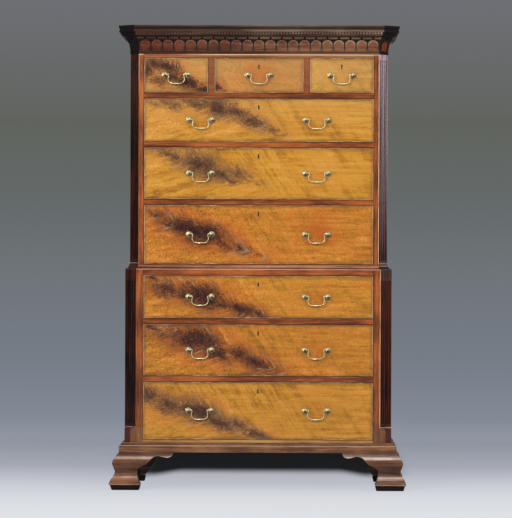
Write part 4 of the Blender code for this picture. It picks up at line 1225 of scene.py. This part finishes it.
# (height in mm, share of lightness): a painted highlight on the arris and painted shade under it
WAIST_ROWS = ((0, 1.4), (3.2, 1.4), (4.2, 0.6), (7.5, 0.5), (10.5, 0.95), (13, 1.1), (18, 1.1), (19, 0.8),
              (21, 0.5))
CLEARANCE = 0.0003          # between pieces that are only laid together
waist_z = LOWER.head + CLEARANCE
wall = UPPER.half - LOWER.half + CLEARANCE
waist = [*WAIST_OUTLINE, (wall, WAIST_OUTLINE[-1][1]), (wall, 0.0)]
waist_finish = moulded_wood("waist_mahogany", tone(172, 104, 66), tone(104, 52, 32), WAIST_ROWS, waist_z,
                            [(1.6, 2.8, 0.7)], LOWER.cant, wear=0.6)
piece("waist_moulding", along_walls(waist, waist_z, plan, LOWER), "carcase", "mahogany", waist_finish,
      stands_for=["lower_top_board"])

# %% [markdown]
# ## Boards that keep their solids
# Rails, dust boards, sides, backs and drawer boxes already have the right shape, so they only get
# a finish. A dust board is one solid with its rail, as the two are glued together, but the rail is
# mahogany and the rest is oak. A mask from the depth behind the front tells them apart.

# %% Rails in front, oak behind
RAIL_DEPTH = 0.060
OAK_LIGHT = tone(188, 150, 104)
OAK_DEEP = tone(146, 106, 66)


def rail_wood(name, case, low, high, light=MAHOGANY_LIGHT, deep=MAHOGANY_DEEP, crest_wear_and_highlight=0.0):
    """A rail between two heights, painted with shade along the drawers' edges, with oak behind it."""
    paint = Paint(name, POLISH)
    colour, lines, pores = timber(paint, light, deep, ALONG_X)
    x, y, z = paint.axes(paint.where)
    # painted shade along the gaps above and below the drawers
    beside = paint.largest([paint.near(z, low, GAP_SHADE_REACH), paint.near(z, high, GAP_SHADE_REACH * (1 - crest_wear_and_highlight))])
    colour = paint.shade(colour, 1 - beside * 0.78)
    if crest_wear_and_highlight:
        # a pale line at the top: rubbed wear and a painted highlight
        pale_wear_and_highlight = paint.ease(z, *(high - reach for reach in PALE_REACH))
        pale_wear_and_highlight = pale_wear_and_highlight * paint.ease(x, case.half * -0.75, case.half * -0.3)
        colour = paint.mix(pale_wear_and_highlight * crest_wear_and_highlight, colour, PALE_EDGE_WEAR_AND_HIGHLIGHT)
        # painted shade below the rail, between the short drawers
        colour = paint.mix((1 - paint.ease(z, low - 0.002, low + 0.002)) * 0.45, colour, tone(120, 46, 26))
    plain, _, _ = timber(paint, OAK_LIGHT, OAK_DEEP, ALONG_X)
    behind = paint.ease(y, case.front + RAIL_DEPTH, case.front + RAIL_DEPTH + 0.0003)
    return polished(paint, paint.mix(behind, colour, plain), lines, pores, dirt=0.35)


def refinish(node, finish):
    frame["nodes"][node].material_slots[0].material = finish


for node in frame["nodes"]:
    if "_dustboard_" in node:
        case = LOWER if node.startswith("lower") else UPPER
        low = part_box(node)[0].z
        high = min(drawer.bottom for drawer in drawers if drawer.case is case and drawer.bottom > low)
        refinish(node, rail_wood(f"{node}_mahogany", case, low, high))
base_top = min(drawer.bottom for drawer in drawers)
waist_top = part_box("upper_drawer_3_front")[0].z
short_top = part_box("short_drawer_left_front")[1].z
refinish("lower_bottom_board", rail_wood("base_rail_mahogany", LOWER, LOWER.foot, base_top,
                                         tone(190, 144, 74), tone(150, 98, 44)))
refinish("upper_bottom_board", rail_wood("waist_rail_mahogany", UPPER, UPPER.foot, waist_top))
refinish("upper_top_rail", rail_wood("top_rail_mahogany", UPPER, short_top, UPPER.head,
                                     tone(158, 100, 58), tone(120, 66, 34), crest_wear_and_highlight=0.9))

# %% Sides, backs and drawer boxes
PINE_LIGHT = tone(170, 132, 88)
PINE_DEEP = tone(122, 84, 50)
pine_finish = wood("pine", PINE_LIGHT, PINE_DEEP, ALONG_X, MATTE, gloss=0.6)
back_finish = wood("pine_back", PINE_LIGHT, PINE_DEEP, ALONG_Z, MATTE, gloss=0.62)
oak_finish = wood("oak", OAK_LIGHT, OAK_DEEP, ALONG_Y, MATTE, gloss=0.55)
# part of a node's name, and its finish
KEPT = (("_side_", side_finish), ("_back", back_finish), ("_box", oak_finish),
        ("upper_top_board", pine_finish))
kept = [(node, finish) for node in frame["nodes"] for part, finish in KEPT if part in node]
for node, finish in kept:
    refinish(node, finish)
print("solids that keep their shape", len(kept))

# %% The lower case's top, in two pieces
PANEL_DROP = 0.004          # underside of the panel above that of the rail
top_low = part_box("lower_top_board")[0].z
panel_half = abs(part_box("lower_back")[0].x)
panel_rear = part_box("lower_back")[0].y - JOINT
rail_half = LOWER.opening - CLEARANCE
rail_rear = LOWER.front + RAIL_DEPTH
piece("lower_top_rail", block((-rail_half, rail_half), (LOWER.front, rail_rear), (top_low, LOWER.head)),
      "carcase", "mahogany", rail_wood("lower_top_rail_mahogany", LOWER, top_low, LOWER.head + GAP_SHADE_REACH))
piece("lower_top_panel", block((-panel_half, panel_half), (rail_rear + JOINT, panel_rear),
                               (top_low + PANEL_DROP, LOWER.head)), "carcase", "mahogany", pine_finish)

# %% [markdown]
# ## Ogee bracket feet
# A bracket foot is a short length of heavy moulding, mitred at the corner, with a scroll sawn out
# of its lower edge. So it is made in the same order: lay the S-shaped section round the corner,
# then cut the scroll away from both faces. The dark pad under it is a separate piece of wood.

# %% The ogee and the scroll
FOOT_REACH = -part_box("foot_front_left")[0].x - LOWER.half
FOOT_TOP = LOWER.foot - CLEARANCE
FOOT_WING = 0.1945          # tip of a bracket, inward from the corner
FOOT_ANKLE = 0.0520         # bracket at its narrowest
FOOT_INSET = 0.024          # back of a bracket, inside the wall
PAD_HEIGHT = 0.0200
OGEE_START = 0.0270
# The ridge over the pad, as (step in, height over the pad)
FOOT_RIDGE = ((0.0030, JOINT), (0.0004, 0.0006), (0.0, 0.0020))
# The ogee, as (share of its height over the ridge, step out)
FOOT_OGEE = ((0.0, FOOT_REACH), (0.11, 0.0518), (0.24, 0.0410), (0.36, 0.0351), (0.52, 0.0410),
             (0.66, 0.0459), (0.80, 0.0386), (1.0, 0.0205))
# The cut under a bracket, as (share of the way from ankle to tip, share of the foot's height)
FOOT_SCROLL = ((1.0, 0.96), (0.965, 0.90), (0.86, 0.863), (0.75, 0.877), (0.62, 0.905), (0.505, 0.895),
               (0.405, 0.84), (0.335, 0.755), (0.25, 0.685), (0.11, 0.62), (0.02, 0.545), (0.0, 0.465),
               (0.015, 0.35), (0.05, 0.24), (0.09, 0.18), (0.09, 0.135))
SAW_MARGIN = 0.01


def foot_outline():
    rise = LOWER.foot - OGEE_START
    ogee = [(out, OGEE_START + share * rise) for share, out in curve_through(FOOT_OGEE, 5)]
    ridge = [(FOOT_REACH - inset, PAD_HEIGHT + rise) for inset, rise in FOOT_RIDGE]
    return [*ridge, *ogee[:-1], (ogee[-1][0], FOOT_TOP)]


def scroll_void(origin, way):
    """What the saw takes from under a bracket that runs from a corner in one of two ways."""
    scroll = [(FOOT_ANKLE + along * (FOOT_WING - FOOT_ANKLE), up * LOWER.foot)
              for along, up in curve_through(FOOT_SCROLL, 3)]
    past = FOOT_WING + SAW_MARGIN
    outline = [(scroll[-1][0], -SAW_MARGIN), *scroll[::-1], (past, scroll[0][1]), (past, -SAW_MARGIN)]
    return [(origin + way * inward, height) for inward, height in outline]


def mirrored(maker, side):
    if side < 0:
        bmesh.ops.transform(maker, matrix=Matrix.Scale(-1, 4, Vector((1, 0, 0))), verts=maker.verts)
    return maker


# %% Bracket feet
ENDS = {"front": (LOWER.front, 1), "rear": (BACK_Y, -1)}      # corner, and way towards the middle
REAR_WING = 0.120           # tip of the plain bracket under the back
REAR_THICKNESS = 0.020
REAR_SLOPE = (0.012, 0.0367)        # of its cut: foot beyond the side bracket, tip below the case


def bracket_plan(out, end):
    """Plan of the two brackets of a right foot, stepped out by this much."""
    y, way = ENDS[end]
    edge, wing, thickness = y, REAR_WING, REAR_THICKNESS
    if end == "front":
        edge, wing, thickness = y - out, FOOT_WING, FOOT_INSET
    right, inner, tip = LOWER.half + out, LOWER.half - FOOT_INSET, LOWER.half - wing
    far, back = y + way * FOOT_WING, y + way * thickness
    return [(right, edge), (right, far), (inner, far), (inner, back), (tip, back), (tip, edge)]


def build_foot(end, side, hand):
    rings = [[(*point, height) for point in bracket_plan(out, end)] for out, height in foot_outline()]
    made = piece(f"foot_{end}_{hand}_bracket", mirrored(skin(rings), side), "carcase", "mahogany",
                 foot_finish, stands_for=[f"foot_{end}_{hand}"])
    across = (LOWER.half - 2 * FOOT_INSET, LOWER.half + FOOT_REACH + SAW_MARGIN)
    voids = [prism(scroll_void(*ENDS[end]), across, "X")]
    if end == "front":
        voids.append(prism(scroll_void(LOWER.half, -1),
                           (LOWER.front - FOOT_REACH - SAW_MARGIN, LOWER.front + 2 * FOOT_INSET), "Y"))
    else:
        past = LOWER.half - REAR_WING - SAW_MARGIN
        slope = ((LOWER.half - FOOT_INSET - REAR_SLOPE[0], -SAW_MARGIN),
                 (past, LOWER.foot - REAR_SLOPE[1]), (past, -SAW_MARGIN))
        voids.append(prism(slope, (BACK_Y - 2 * REAR_THICKNESS, BACK_Y + SAW_MARGIN), "Y"))
    cut(made, *(solid("cutter", mirrored(void, side)) for void in voids))
    soften(made, 0.0008)


# %% Pads under the feet
# (step in from the foot's reach, height)
PAD_SECTION = ((0.0114, 0.0), (0.0050, PAD_HEIGHT - 0.001), (0.0056, PAD_HEIGHT))
PAD_TAPER = 0.25


def build_pad(end, side, hand):
    """The tapered pad under a foot."""
    ankle = FOOT_ANKLE + FOOT_SCROLL[-1][0] * (FOOT_WING - FOOT_ANKLE)
    y, way = ENDS[end]
    rings = []
    for inset, height in PAD_SECTION:
        out = FOOT_REACH - inset
        reach = ankle - (PAD_HEIGHT - height) * PAD_TAPER
        outer = y - out if end == "front" else y
        right, far = LOWER.half + out, LOWER.half - reach
        rings.append([(right, outer, height), (right, y + way * reach, height),
                      (far, y + way * reach, height), (far, outer, height)])
    piece(f"foot_{end}_{hand}_pad", mirrored(skin(rings), side), "carcase", "mahogany", pad_finish)


# %% Finishes of the feet
# (height in mm, share of lightness): old wax, painted highlights on the ogee's upward faces and painted shade
# between
FOOT_ROWS = ((0, 0.5), (20.5, 0.6), (21.8, 1.8), (27, 1.5), (36, 1.0), (44, 1.2), (52, 1.3), (58, 1.0),
             (70, 0.62), (95, 0.62), (108, 0.85), (118, 1.1), (128, 1.3), (134, 1.1), (140, 0.8),
             (148.7, 0.6))
FOOT_CREST_WEAR_AND_HIGHLIGHTS = ((127.5, 9, 0.85), (51.5, 7.5, 0.6), (23.5, 2.5, 0.5))
pad_finish = wood("pad_mahogany", tone(34, 20, 19), tone(12, 7, 7), LEVEL, MATTE, gloss=0.6)
foot_finish = moulded_wood("foot_mahogany", tone(128, 84, 56), tone(72, 40, 25), FOOT_ROWS, 0.0, FOOT_CREST_WEAR_AND_HIGHLIGHTS,
                           bare=True, worn=WORN, wear=0.5)
for end in ENDS:
    for side, hand in HANDS:
        build_foot(end, side, hand)
        build_pad(end, side, hand)

# %% [markdown]
# ## Frieze and cornice
# Under the cornice runs an arcade: twenty-one round-topped tabs on the front, each a thin board
# with a raised rim, planted on a hollow. Above it a row of dentils, small blocks with a gap between
# them, hangs under the top mouldings. The tabs have to follow the hollow, so each of their points is
# stepped out by the hollow's own curve at its height.

# %% Wood of the top
TOP_LEFT = (tone(84, 46, 34), tone(44, 20, 15))         # the top of the case fades from dark red
TOP_RIGHT = (tone(132, 106, 88), tone(86, 60, 46))      # at the left to a bleached brown at the right
TOP_POLISH = {"IOR": 1.45, "Specular IOR Level": 0.25}
# the cants of the top, painted with shade: black, dusky red, and a red painted glint for the tabs on the
# right
CANT_SHADE_BLACK = tone(12, 8, 7)
CANT_SHADE_DUSKY = tone(38, 16, 10)
CANT_GLINT_RED = tone(112, 46, 24)


def top_wood(name, rows, foot, left=1.0, right=1.0, warmth=(1.0, 1.0, 1.0), cant=CANT_SHADE_BLACK, wear=0.35,
             **finish):
    """Faded wood under old wax and painted light and shade by height, with a left cant painted black with
    shade and a right one painted in the given colour.
    """
    paint = Paint(name, TOP_POLISH)
    red, lines, pores = timber(paint, *TOP_LEFT, LEVEL)
    grey, _, _ = timber(paint, *TOP_RIGHT, LEVEL)
    x, _, z = paint.axes(paint.where)
    fade = paint.ease(x + (lines - 0.5) * 0.1, -0.52, 0.30)
    colour = paint.mix(fade, paint.shade(red, left), paint.shade(grey, right))
    colour = paint.waxed_and_lit(colour, z - foot, rows, warmth)
    canted = on_cant(paint, UPPER, UPPER.cant)
    # painted shade on the cants: black on the left, the given colour on the right
    colour = paint.mix(canted * 0.97, colour, paint.mix(paint.ease(x, -0.4, 0.4), CANT_SHADE_BLACK, cant))
    return polished(paint, colour, lines, pores, gloss=canted * 0.5 + 0.3, wear=(1 - canted) * wear, **finish)


# %% The frieze board
FRIEZE_LOW, FRIEZE_HIGH = (corner.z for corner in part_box("frieze"))
CORNICE_LOW, CORNICE_HIGH = (corner.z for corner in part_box("cornice"))
FRIEZE_HEIGHT = FRIEZE_HIGH - FRIEZE_LOW
CORNICE_HEIGHT = CORNICE_HIGH - CORNICE_LOW
HOOP_THICKNESS = 0.022
FRIEZE_HOLLOW = curve_through([*mm((0.5, 7), (0.5, 20), (2.7, 35), (8.5, 48.5), (15, 56)),
                               (0.0165, FRIEZE_HEIGHT)], 3)
FRIEZE_OUTLINE = [*mm((0.6, 0), *quarter((1.6, 0.2), (3.4, 2.5), upright=False, steps=4),
                      *quarter((3.4, 2.7), (1.8, 5), steps=4), (0.6, 5.4)), *FRIEZE_HOLLOW]
# (height in mm, share of lightness): old wax, painted shadow under the cornice and a painted dark line above
# the astragal
FRIEZE_ROWS = ((0, 0.75), (5, 0.8), (6.2, 0.42), (10, 0.5), (11.5, 0.8), (20, 0.6), (24, 0.28), (40, 0.22),
               (50, 0.14), (59.5, 0.12))
frieze_finish = top_wood("frieze_mahogany", FRIEZE_ROWS, FRIEZE_LOW, left=1.2, right=0.8,
                         warmth=(1.1, 0.82, 0.6), cant=CANT_SHADE_DUSKY, dirt=0.8)
piece("frieze_board", hoop(FRIEZE_OUTLINE, FRIEZE_LOW, UPPER, HOOP_THICKNESS), "carcase", "dark_mahogany",
      frieze_finish, stands_for=["frieze"])


# %% One tab
TAB_WIDTH = 0.0412
TAB_PITCH = 0.0453
TAB_FOOT = 0.0115
TAB_SHOULDER = 0.0080       # above its foot, a tab is at its full width
TAB_SPRING = 0.0385
TAB_CROWN = 0.0555
TAB_PROUD = 0.0028
TAB_RIM = 0.0050
ARCH_STEPS = 7
ARCH_END = math.radians(84)
# (step in from the tab's edge, step out from the hollow), from its back round its rim to its field
TAB_STEPS = ((0.0, -0.002), (0.0, TAB_PROUD - 0.0007), (0.0007, TAB_PROUD), (TAB_RIM, TAB_PROUD),
             (TAB_RIM + 0.0008, TAB_PROUD - 0.0011))
RIM, FIELD, EDGE = range(3)


def hollow_step(height):
    """How far the frieze stands out at a height above its foot."""
    for (low_out, low), (high_out, high) in zip(FRIEZE_HOLLOW, FRIEZE_HOLLOW[1:]):
        if low <= height <= high:
            return low_out + (high_out - low_out) * (height - low) / (high - low)
    return FRIEZE_HOLLOW[-1][0]


def tab_loop(inset):
    """(height, place across) of the points round a tab whose edge is drawn in by inset."""
    half = TAB_WIDTH / 2 - inset
    rows = [(TAB_FOOT + inset * 0.3, half), (TAB_FOOT + TAB_SHOULDER, half), (TAB_SPRING, half)]
    for k in range(1, ARCH_STEPS + 1):
        turn = ARCH_END * k / ARCH_STEPS
        rows.append((TAB_SPRING + (TAB_CROWN - TAB_SPRING - inset) * math.sin(turn), half * math.cos(turn)))
    return [(height, -across) for height, across in rows] + rows[::-1]


def tab(centre, along, outward):
    """One tab: its edge, a flat rim and a sunk field."""
    maker = bmesh.new()
    loops = []
    for inset, proud in TAB_STEPS:
        spots = [(centre + along * across + outward * (hollow_step(height) + proud), height)
                 for height, across in tab_loop(inset)]
        loops.append([maker.verts.new((*spot, FRIEZE_LOW + height)) for spot, height in spots])
    count = len(loops[0])
    for level, (low, high) in enumerate(zip(loops, loops[1:])):
        for i in range(count):
            j = (i + 1) % count
            maker.faces.new((low[i], low[j], high[j], high[i])).material_index = RIM if level else EDGE
    for loop, index in ((loops[0], EDGE), (loops[-1], FIELD)):
        for i in range(count // 2 - 1):
            maker.faces.new((loop[i], loop[i + 1], loop[-2 - i], loop[-1 - i])).material_index = index
    return maker


# %% The arcade of tabs
# (height in mm, share of lightness): the rims painted lighter towards their tops as a highlight, with old wax
RIM_ROWS = ((11.5, 0.45), (22, 0.5), (36, 0.85), (48, 1.2), (56, 1.15))
FIELD_ROWS = ((11.5, 0.85), (20, 0.9), (36, 1.0), (48, 0.9), (56, 0.7))


def runs(offset, case):
    """Start, direction, outward normal and length of the five show faces of a case."""
    points = [Vector(point) for point in plan(offset, case)]
    for start, end in zip(points, points[1:]):
        along = (end - start).normalized()
        yield start, along, Vector((along.y, -along.x)), (end - start).length


rim_finish = top_wood("tab_rim_mahogany", RIM_ROWS, FRIEZE_LOW, left=1.6, right=1.5, warmth=(1.0, 1.0, 0.92),
                      cant=CANT_SHADE_DUSKY, worn=WORN, wear=0.2, dirt=0.5)
field_finish = top_wood("tab_field_mahogany", FIELD_ROWS, FRIEZE_LOW, left=1.4, right=0.95,
                        warmth=(1.35, 0.85, 0.58), cant=CANT_GLINT_RED, dirt=0.7)
arcade = [(start + along * middle, along, outward)
          for start, along, outward, length in runs(0.0, UPPER)
          for middle in spaced(length, TAB_PITCH, TAB_WIDTH)]
piece("frieze_tabs", gathered([tab(*place) for place in arcade]), "carcase", "dark_mahogany", rim_finish,
      field_finish, frieze_finish)
print("tabs", len(arcade))

# %% The cornice, notched over each tab
CORNICE_OUTLINE = [*mm((18, 0), (18, 6.6), (19, 7), *quarter((19.4, 7.4), (33, 13)), (34, 13.4), (34, 17.4),
                       (36, 17.8), (36, 26.6), (44.8, 26.8), (45, 27.2), (45, 34.6), (44.6, 35), (43, 35.2),
                       *quarter((42.8, 35.6), (43.6, 42)), *quarter((43.8, 42.4), (46.4, 46), upright=False),
                       (47, 46.4)), (0.0470, CORNICE_HEIGHT - 0.0005), (0.0465, CORNICE_HEIGHT)]
# (height in mm, share of lightness): old wax, with painted shade in the hollows and painted highlights on the
# fillets and the top edge
CORNICE_ROWS = ((0, 0.7), (1.5, 0.85), (6.2, 0.8), (7.4, 0.36), (12.8, 0.36), (13.6, 0.72), (17.2, 0.7),
                (18, 0.22), (26.4, 0.20), (27.4, 0.95), (34.4, 1.0), (35.6, 0.26), (45.5, 0.22), (46.6, 0.6),
                (50.5, 0.7), (52.2, 1.3), (53.1, 1.4))
NOTCH = ((-1.0, -0.1), (1.0, -0.1), (0.75, 0.35), (0.0, 1.0), (-0.75, 0.35))
NOTCH_HALF = 0.0056         # half its width
NOTCH_HEIGHT = 0.0105
NOTCH_DEPTH = (0.012, 0.026)        # from and to, out from the case


def notch(centre, along, outward):
    """A pointed cut in the cornice's lowest fillet, over the crown of a tab, its faces painted in shade."""
    rings = [[(*(centre + along * a * NOTCH_HALF + outward * depth), CORNICE_LOW + b * NOTCH_HEIGHT)
              for a, b in NOTCH] for depth in NOTCH_DEPTH]
    return marked(skin(rings), 1)


cornice_finish = top_wood("cornice_mahogany", CORNICE_ROWS, CORNICE_LOW, worn=WORN, wear=0.2, dirt=0.6,
                          reach=0.005)
cornice = piece("cornice_moulding", hoop(CORNICE_OUTLINE, CORNICE_LOW, UPPER, HOOP_THICKNESS), "carcase",
                "mahogany", cornice_finish, hole_shade_finish, stands_for=["cornice"])
cut(cornice, solid("cutter", gathered([notch(*place) for place in arcade]), cornice_finish, hole_shade_finish))

# %% The cover board
COVER_DROP = 0.008
COVER_THICKNESS = 0.008
cover_top = CORNICE_HIGH - COVER_DROP
piece("cornice_cover", prism(plan(-HOOP_THICKNESS - JOINT, UPPER, HOOP_THICKNESS + JOINT),
                             (cover_top - COVER_THICKNESS, cover_top)), "carcase", "mahogany", cover_finish)

# %% The dentils
DENTIL_WIDTH = 0.0072
DENTIL_PITCH = 0.0117
DENTIL_HEIGHT = 0.0080
DENTIL_TOP = 0.0265         # above the foot of the cornice
DENTIL_PROUD = 0.0050
DENTIL_GROUND = 0.0360      # how far out the fillet is that they stand on
DENTIL_ROWS = ((18, 0.9), (25, 1.05), (26.6, 1.0))


def dentil(centre, along, outward):
    """A small block with eased edges."""
    top = CORNICE_LOW + DENTIL_TOP
    rings = []
    for inset, step in ((0.0, -0.001), (0.0, DENTIL_PROUD - 0.0005), (0.0005, DENTIL_PROUD)):
        half, low = DENTIL_WIDTH / 2 - inset, top - DENTIL_HEIGHT + inset
        ring = ((-half, low), (half, low), (half, top), (-half, top))
        rings.append([(*(centre + along * across + outward * step), level) for across, level in ring])
    return skin(rings)


dentils = [dentil(start + along * middle, along, outward)
           for start, along, outward, length in runs(DENTIL_GROUND, UPPER)
           for middle in spaced(length, DENTIL_PITCH, DENTIL_WIDTH)]
print("dentils", len(dentils))
dentil_finish = top_wood("dentil_mahogany", DENTIL_ROWS, CORNICE_LOW, left=0.8, right=1.5, worn=WORN,
                         wear=0.6, reach=0.003)
piece("cornice_dentils", gathered(dentils), "carcase", "mahogany", dentil_finish)

# %% [markdown]
# ## The camera
# The photograph was taken from far off with a long lens, a little to the right of the middle
# and at about half the height of the case. The camera's place is given in metres, and its aim by
# three small angles.

# %% A long lens, fourteen metres away
CAMERA_PLACE = Vector((0.15, LOWER.front - 14.0, 0.997))
HEADING = math.radians(0.652)       # to the left of straight ahead
PITCH = math.radians(-0.326)
ROLL = math.radians(0.2)            # anticlockwise
FOCAL_LENGTH = 244.9


def make_camera():
    lens = bpy.data.cameras.new("camera")
    lens.lens = FOCAL_LENGTH
    made = bpy.data.objects.new("camera", lens)
    bpy.context.scene.collection.objects.link(made)
    aim = (Matrix.Rotation(HEADING, 4, "Z") @ Matrix.Rotation(math.pi / 2 + PITCH, 4, "X")
           @ Matrix.Rotation(ROLL, 4, "Z"))
    made.matrix_world = Matrix.Translation(CAMERA_PLACE) @ aim
    bpy.context.scene.camera = made
    return made


camera = make_camera()
print("camera", [round(v, 3) for v in camera.location])

# %% [markdown]
# ## Studio
# A seamless grey backdrop is lighter at the floor than above. The floor is a real plane near the
# object, so that it holds the shadow, and it fades into a backdrop that lies in the world shader
# and depends only on the height of the view line. Three soft lamps light the case from the front,
# and a fourth, level with it, lights its right side and the canted corners there.

# %% The backdrop's grades
# (sine of the height of the view line, grey)
BACKDROP = ((-0.0760, tone(221, 224, 229)), (-0.0709, tone(206, 210, 219)), (-0.0651, tone(176, 180, 192)),
            (-0.0594, tone(155, 161, 173)), (-0.0514, tone(132, 138, 150)), (-0.0343, tone(118, 125, 135)),
            (-0.0114, tone(112, 117, 122)), (0.0114, tone(100, 106, 106)), (0.0331, tone(97, 100, 94)),
            (0.0657, tone(109, 111, 116)))
WORLD_GREY = (0.26, 0.26, 0.26, 1.0)


class WorldPaint(Paint):
    """The same sums, in the world's shader."""

    def __init__(self):
        world = bpy.data.worlds.new("studio")
        world.use_nodes = True
        bpy.context.scene.world = world
        self.tree = world.node_tree
        self.background = self.tree.nodes["Background"]


def light_world():
    paint = WorldPaint()
    _, _, height = paint.axes(paint.node("ShaderNodeTexCoord", {}, {}, "Generated"))
    camera_ray = paint.node("ShaderNodeLightPath", {}, {}, "Is Camera Ray")
    seen = paint.clamp(camera_ray + camera_ray.beside("Is Glossy Ray"))
    paint.feed(paint.background.inputs["Color"], paint.mix(seen, WORLD_GREY, paint.grade(height, BACKDROP)))


light_world()

# %% The floor
FLOOR_RADIUS = 30.0
FLOOR_SOLID = 2.2           # opaque within this distance of the case
FLOOR_FADE = 5.6            # gone beyond this one
# (distance behind the middle of the case, colour), towards the camera first
FLOOR_GRADE = ((-2.27, tone(230, 233, 237)), (-0.78, tone(221, 224, 229)), (0.01, tone(208, 211, 220)),
               (0.62, tone(192, 195, 206)), (1.23, tone(172, 177, 188)), (2.98, tone(150, 156, 168)))
FLOOR_GLOW = 0.80           # share of its own light that the camera sees, and the rest holds the shadows
SHADE_TONE = 0.03           # of the floor in the deep shade behind the case
SHADE_Y = (BACK_Y + 0.32, BACK_Y + 0.84, 2.3, 2.5)      # starts, full, full, gone
SHADE_LEAD = 0.26           # how far it comes forward beside the rear feet
SHADE_FEET = (0.33, 0.46)   # the lead starts and is full, out from the middle
SHADE_X = (0.46, 0.66)      # the shade thins and is gone, out from the middle


def build_floor():
    paint = Paint("studio_floor", {"Roughness": 0.9, "Specular IOR Level": 0.1})
    x, y, _ = paint.axes(paint.where)
    lead = paint.ease(abs(x), *SHADE_FEET) * SHADE_LEAD
    shade = (paint.ease(y + lead, *SHADE_Y[:2]) * (1 - paint.ease(y, *SHADE_Y[2:]))
             * (1 - paint.ease(abs(x), *SHADE_X)))
    colour = paint.shade(paint.grade(y, FLOOR_GRADE), 1 - shade * (1 - SHADE_TONE))
    paint.surface(base_color=colour)
    seen = paint.node("ShaderNodeLightPath", {}, {}, "Is Camera Ray")
    away = paint.node("ShaderNodeVectorMath", {"operation": "LENGTH"}, {0: paint.vector(x, y, 0.0)}, "Value")
    glow = paint.node("ShaderNodeEmission", {}, {0: colour})
    clear = paint.node("ShaderNodeBsdfTransparent", {}, {})
    lit = paint.node("ShaderNodeMixShader", {}, {0: seen * FLOOR_GLOW, 2: glow})
    paint.tree.links.new(paint.shader.outputs[0], lit.socket.node.inputs[1])
    gone = paint.ease(away, FLOOR_SOLID, FLOOR_FADE) * seen
    shown = paint.node("ShaderNodeMixShader", {}, {0: gone, 1: lit, 2: clear})
    paint.tree.links.new(shown.socket, paint.tree.nodes["Material Output"].inputs["Surface"])
    maker = bmesh.new()
    bmesh.ops.create_circle(maker, cap_ends=True, radius=FLOOR_RADIUS, segments=64)
    solid("floor", maker, paint.material)


build_floor()
print("floor radius", FLOOR_RADIUS)


# %% Soft lamps
# (name, place, what it faces, width, height, power)
LAMPS = (("key", (-3.4, -6.2, 3.2), (0.0, -0.2, 0.9), 2.0, 2.0, 262.0),
         ("fill", (3.8, -6.0, 2.4), (0.0, -0.2, 0.9), 2.0, 2.0, 120.0),
         ("top", (0.2, -2.4, 4.6), (0.0, -0.3, 0.8), 1.0, 0.8, 44.0),
         ("right_panel", (3.6, -0.25, 1.55), (0.5, -0.2, 1.45), 1.0, 1.2, 20.0))


def hang_lamp(name, place, target, width, height, power):
    light = bpy.data.lights.new(name, "AREA")
    light.shape = "RECTANGLE"
    light.size = width
    light.size_y = height
    light.energy = power
    made = bpy.data.objects.new(name, light)
    bpy.context.scene.collection.objects.link(made)
    made.location = place
    made.rotation_euler = (Vector(target) - Vector(place)).to_track_quat("-Z", "Y").to_euler()


for lamp in LAMPS:
    hang_lamp(*lamp)
bpy.context.scene.view_settings.view_transform = "Standard"
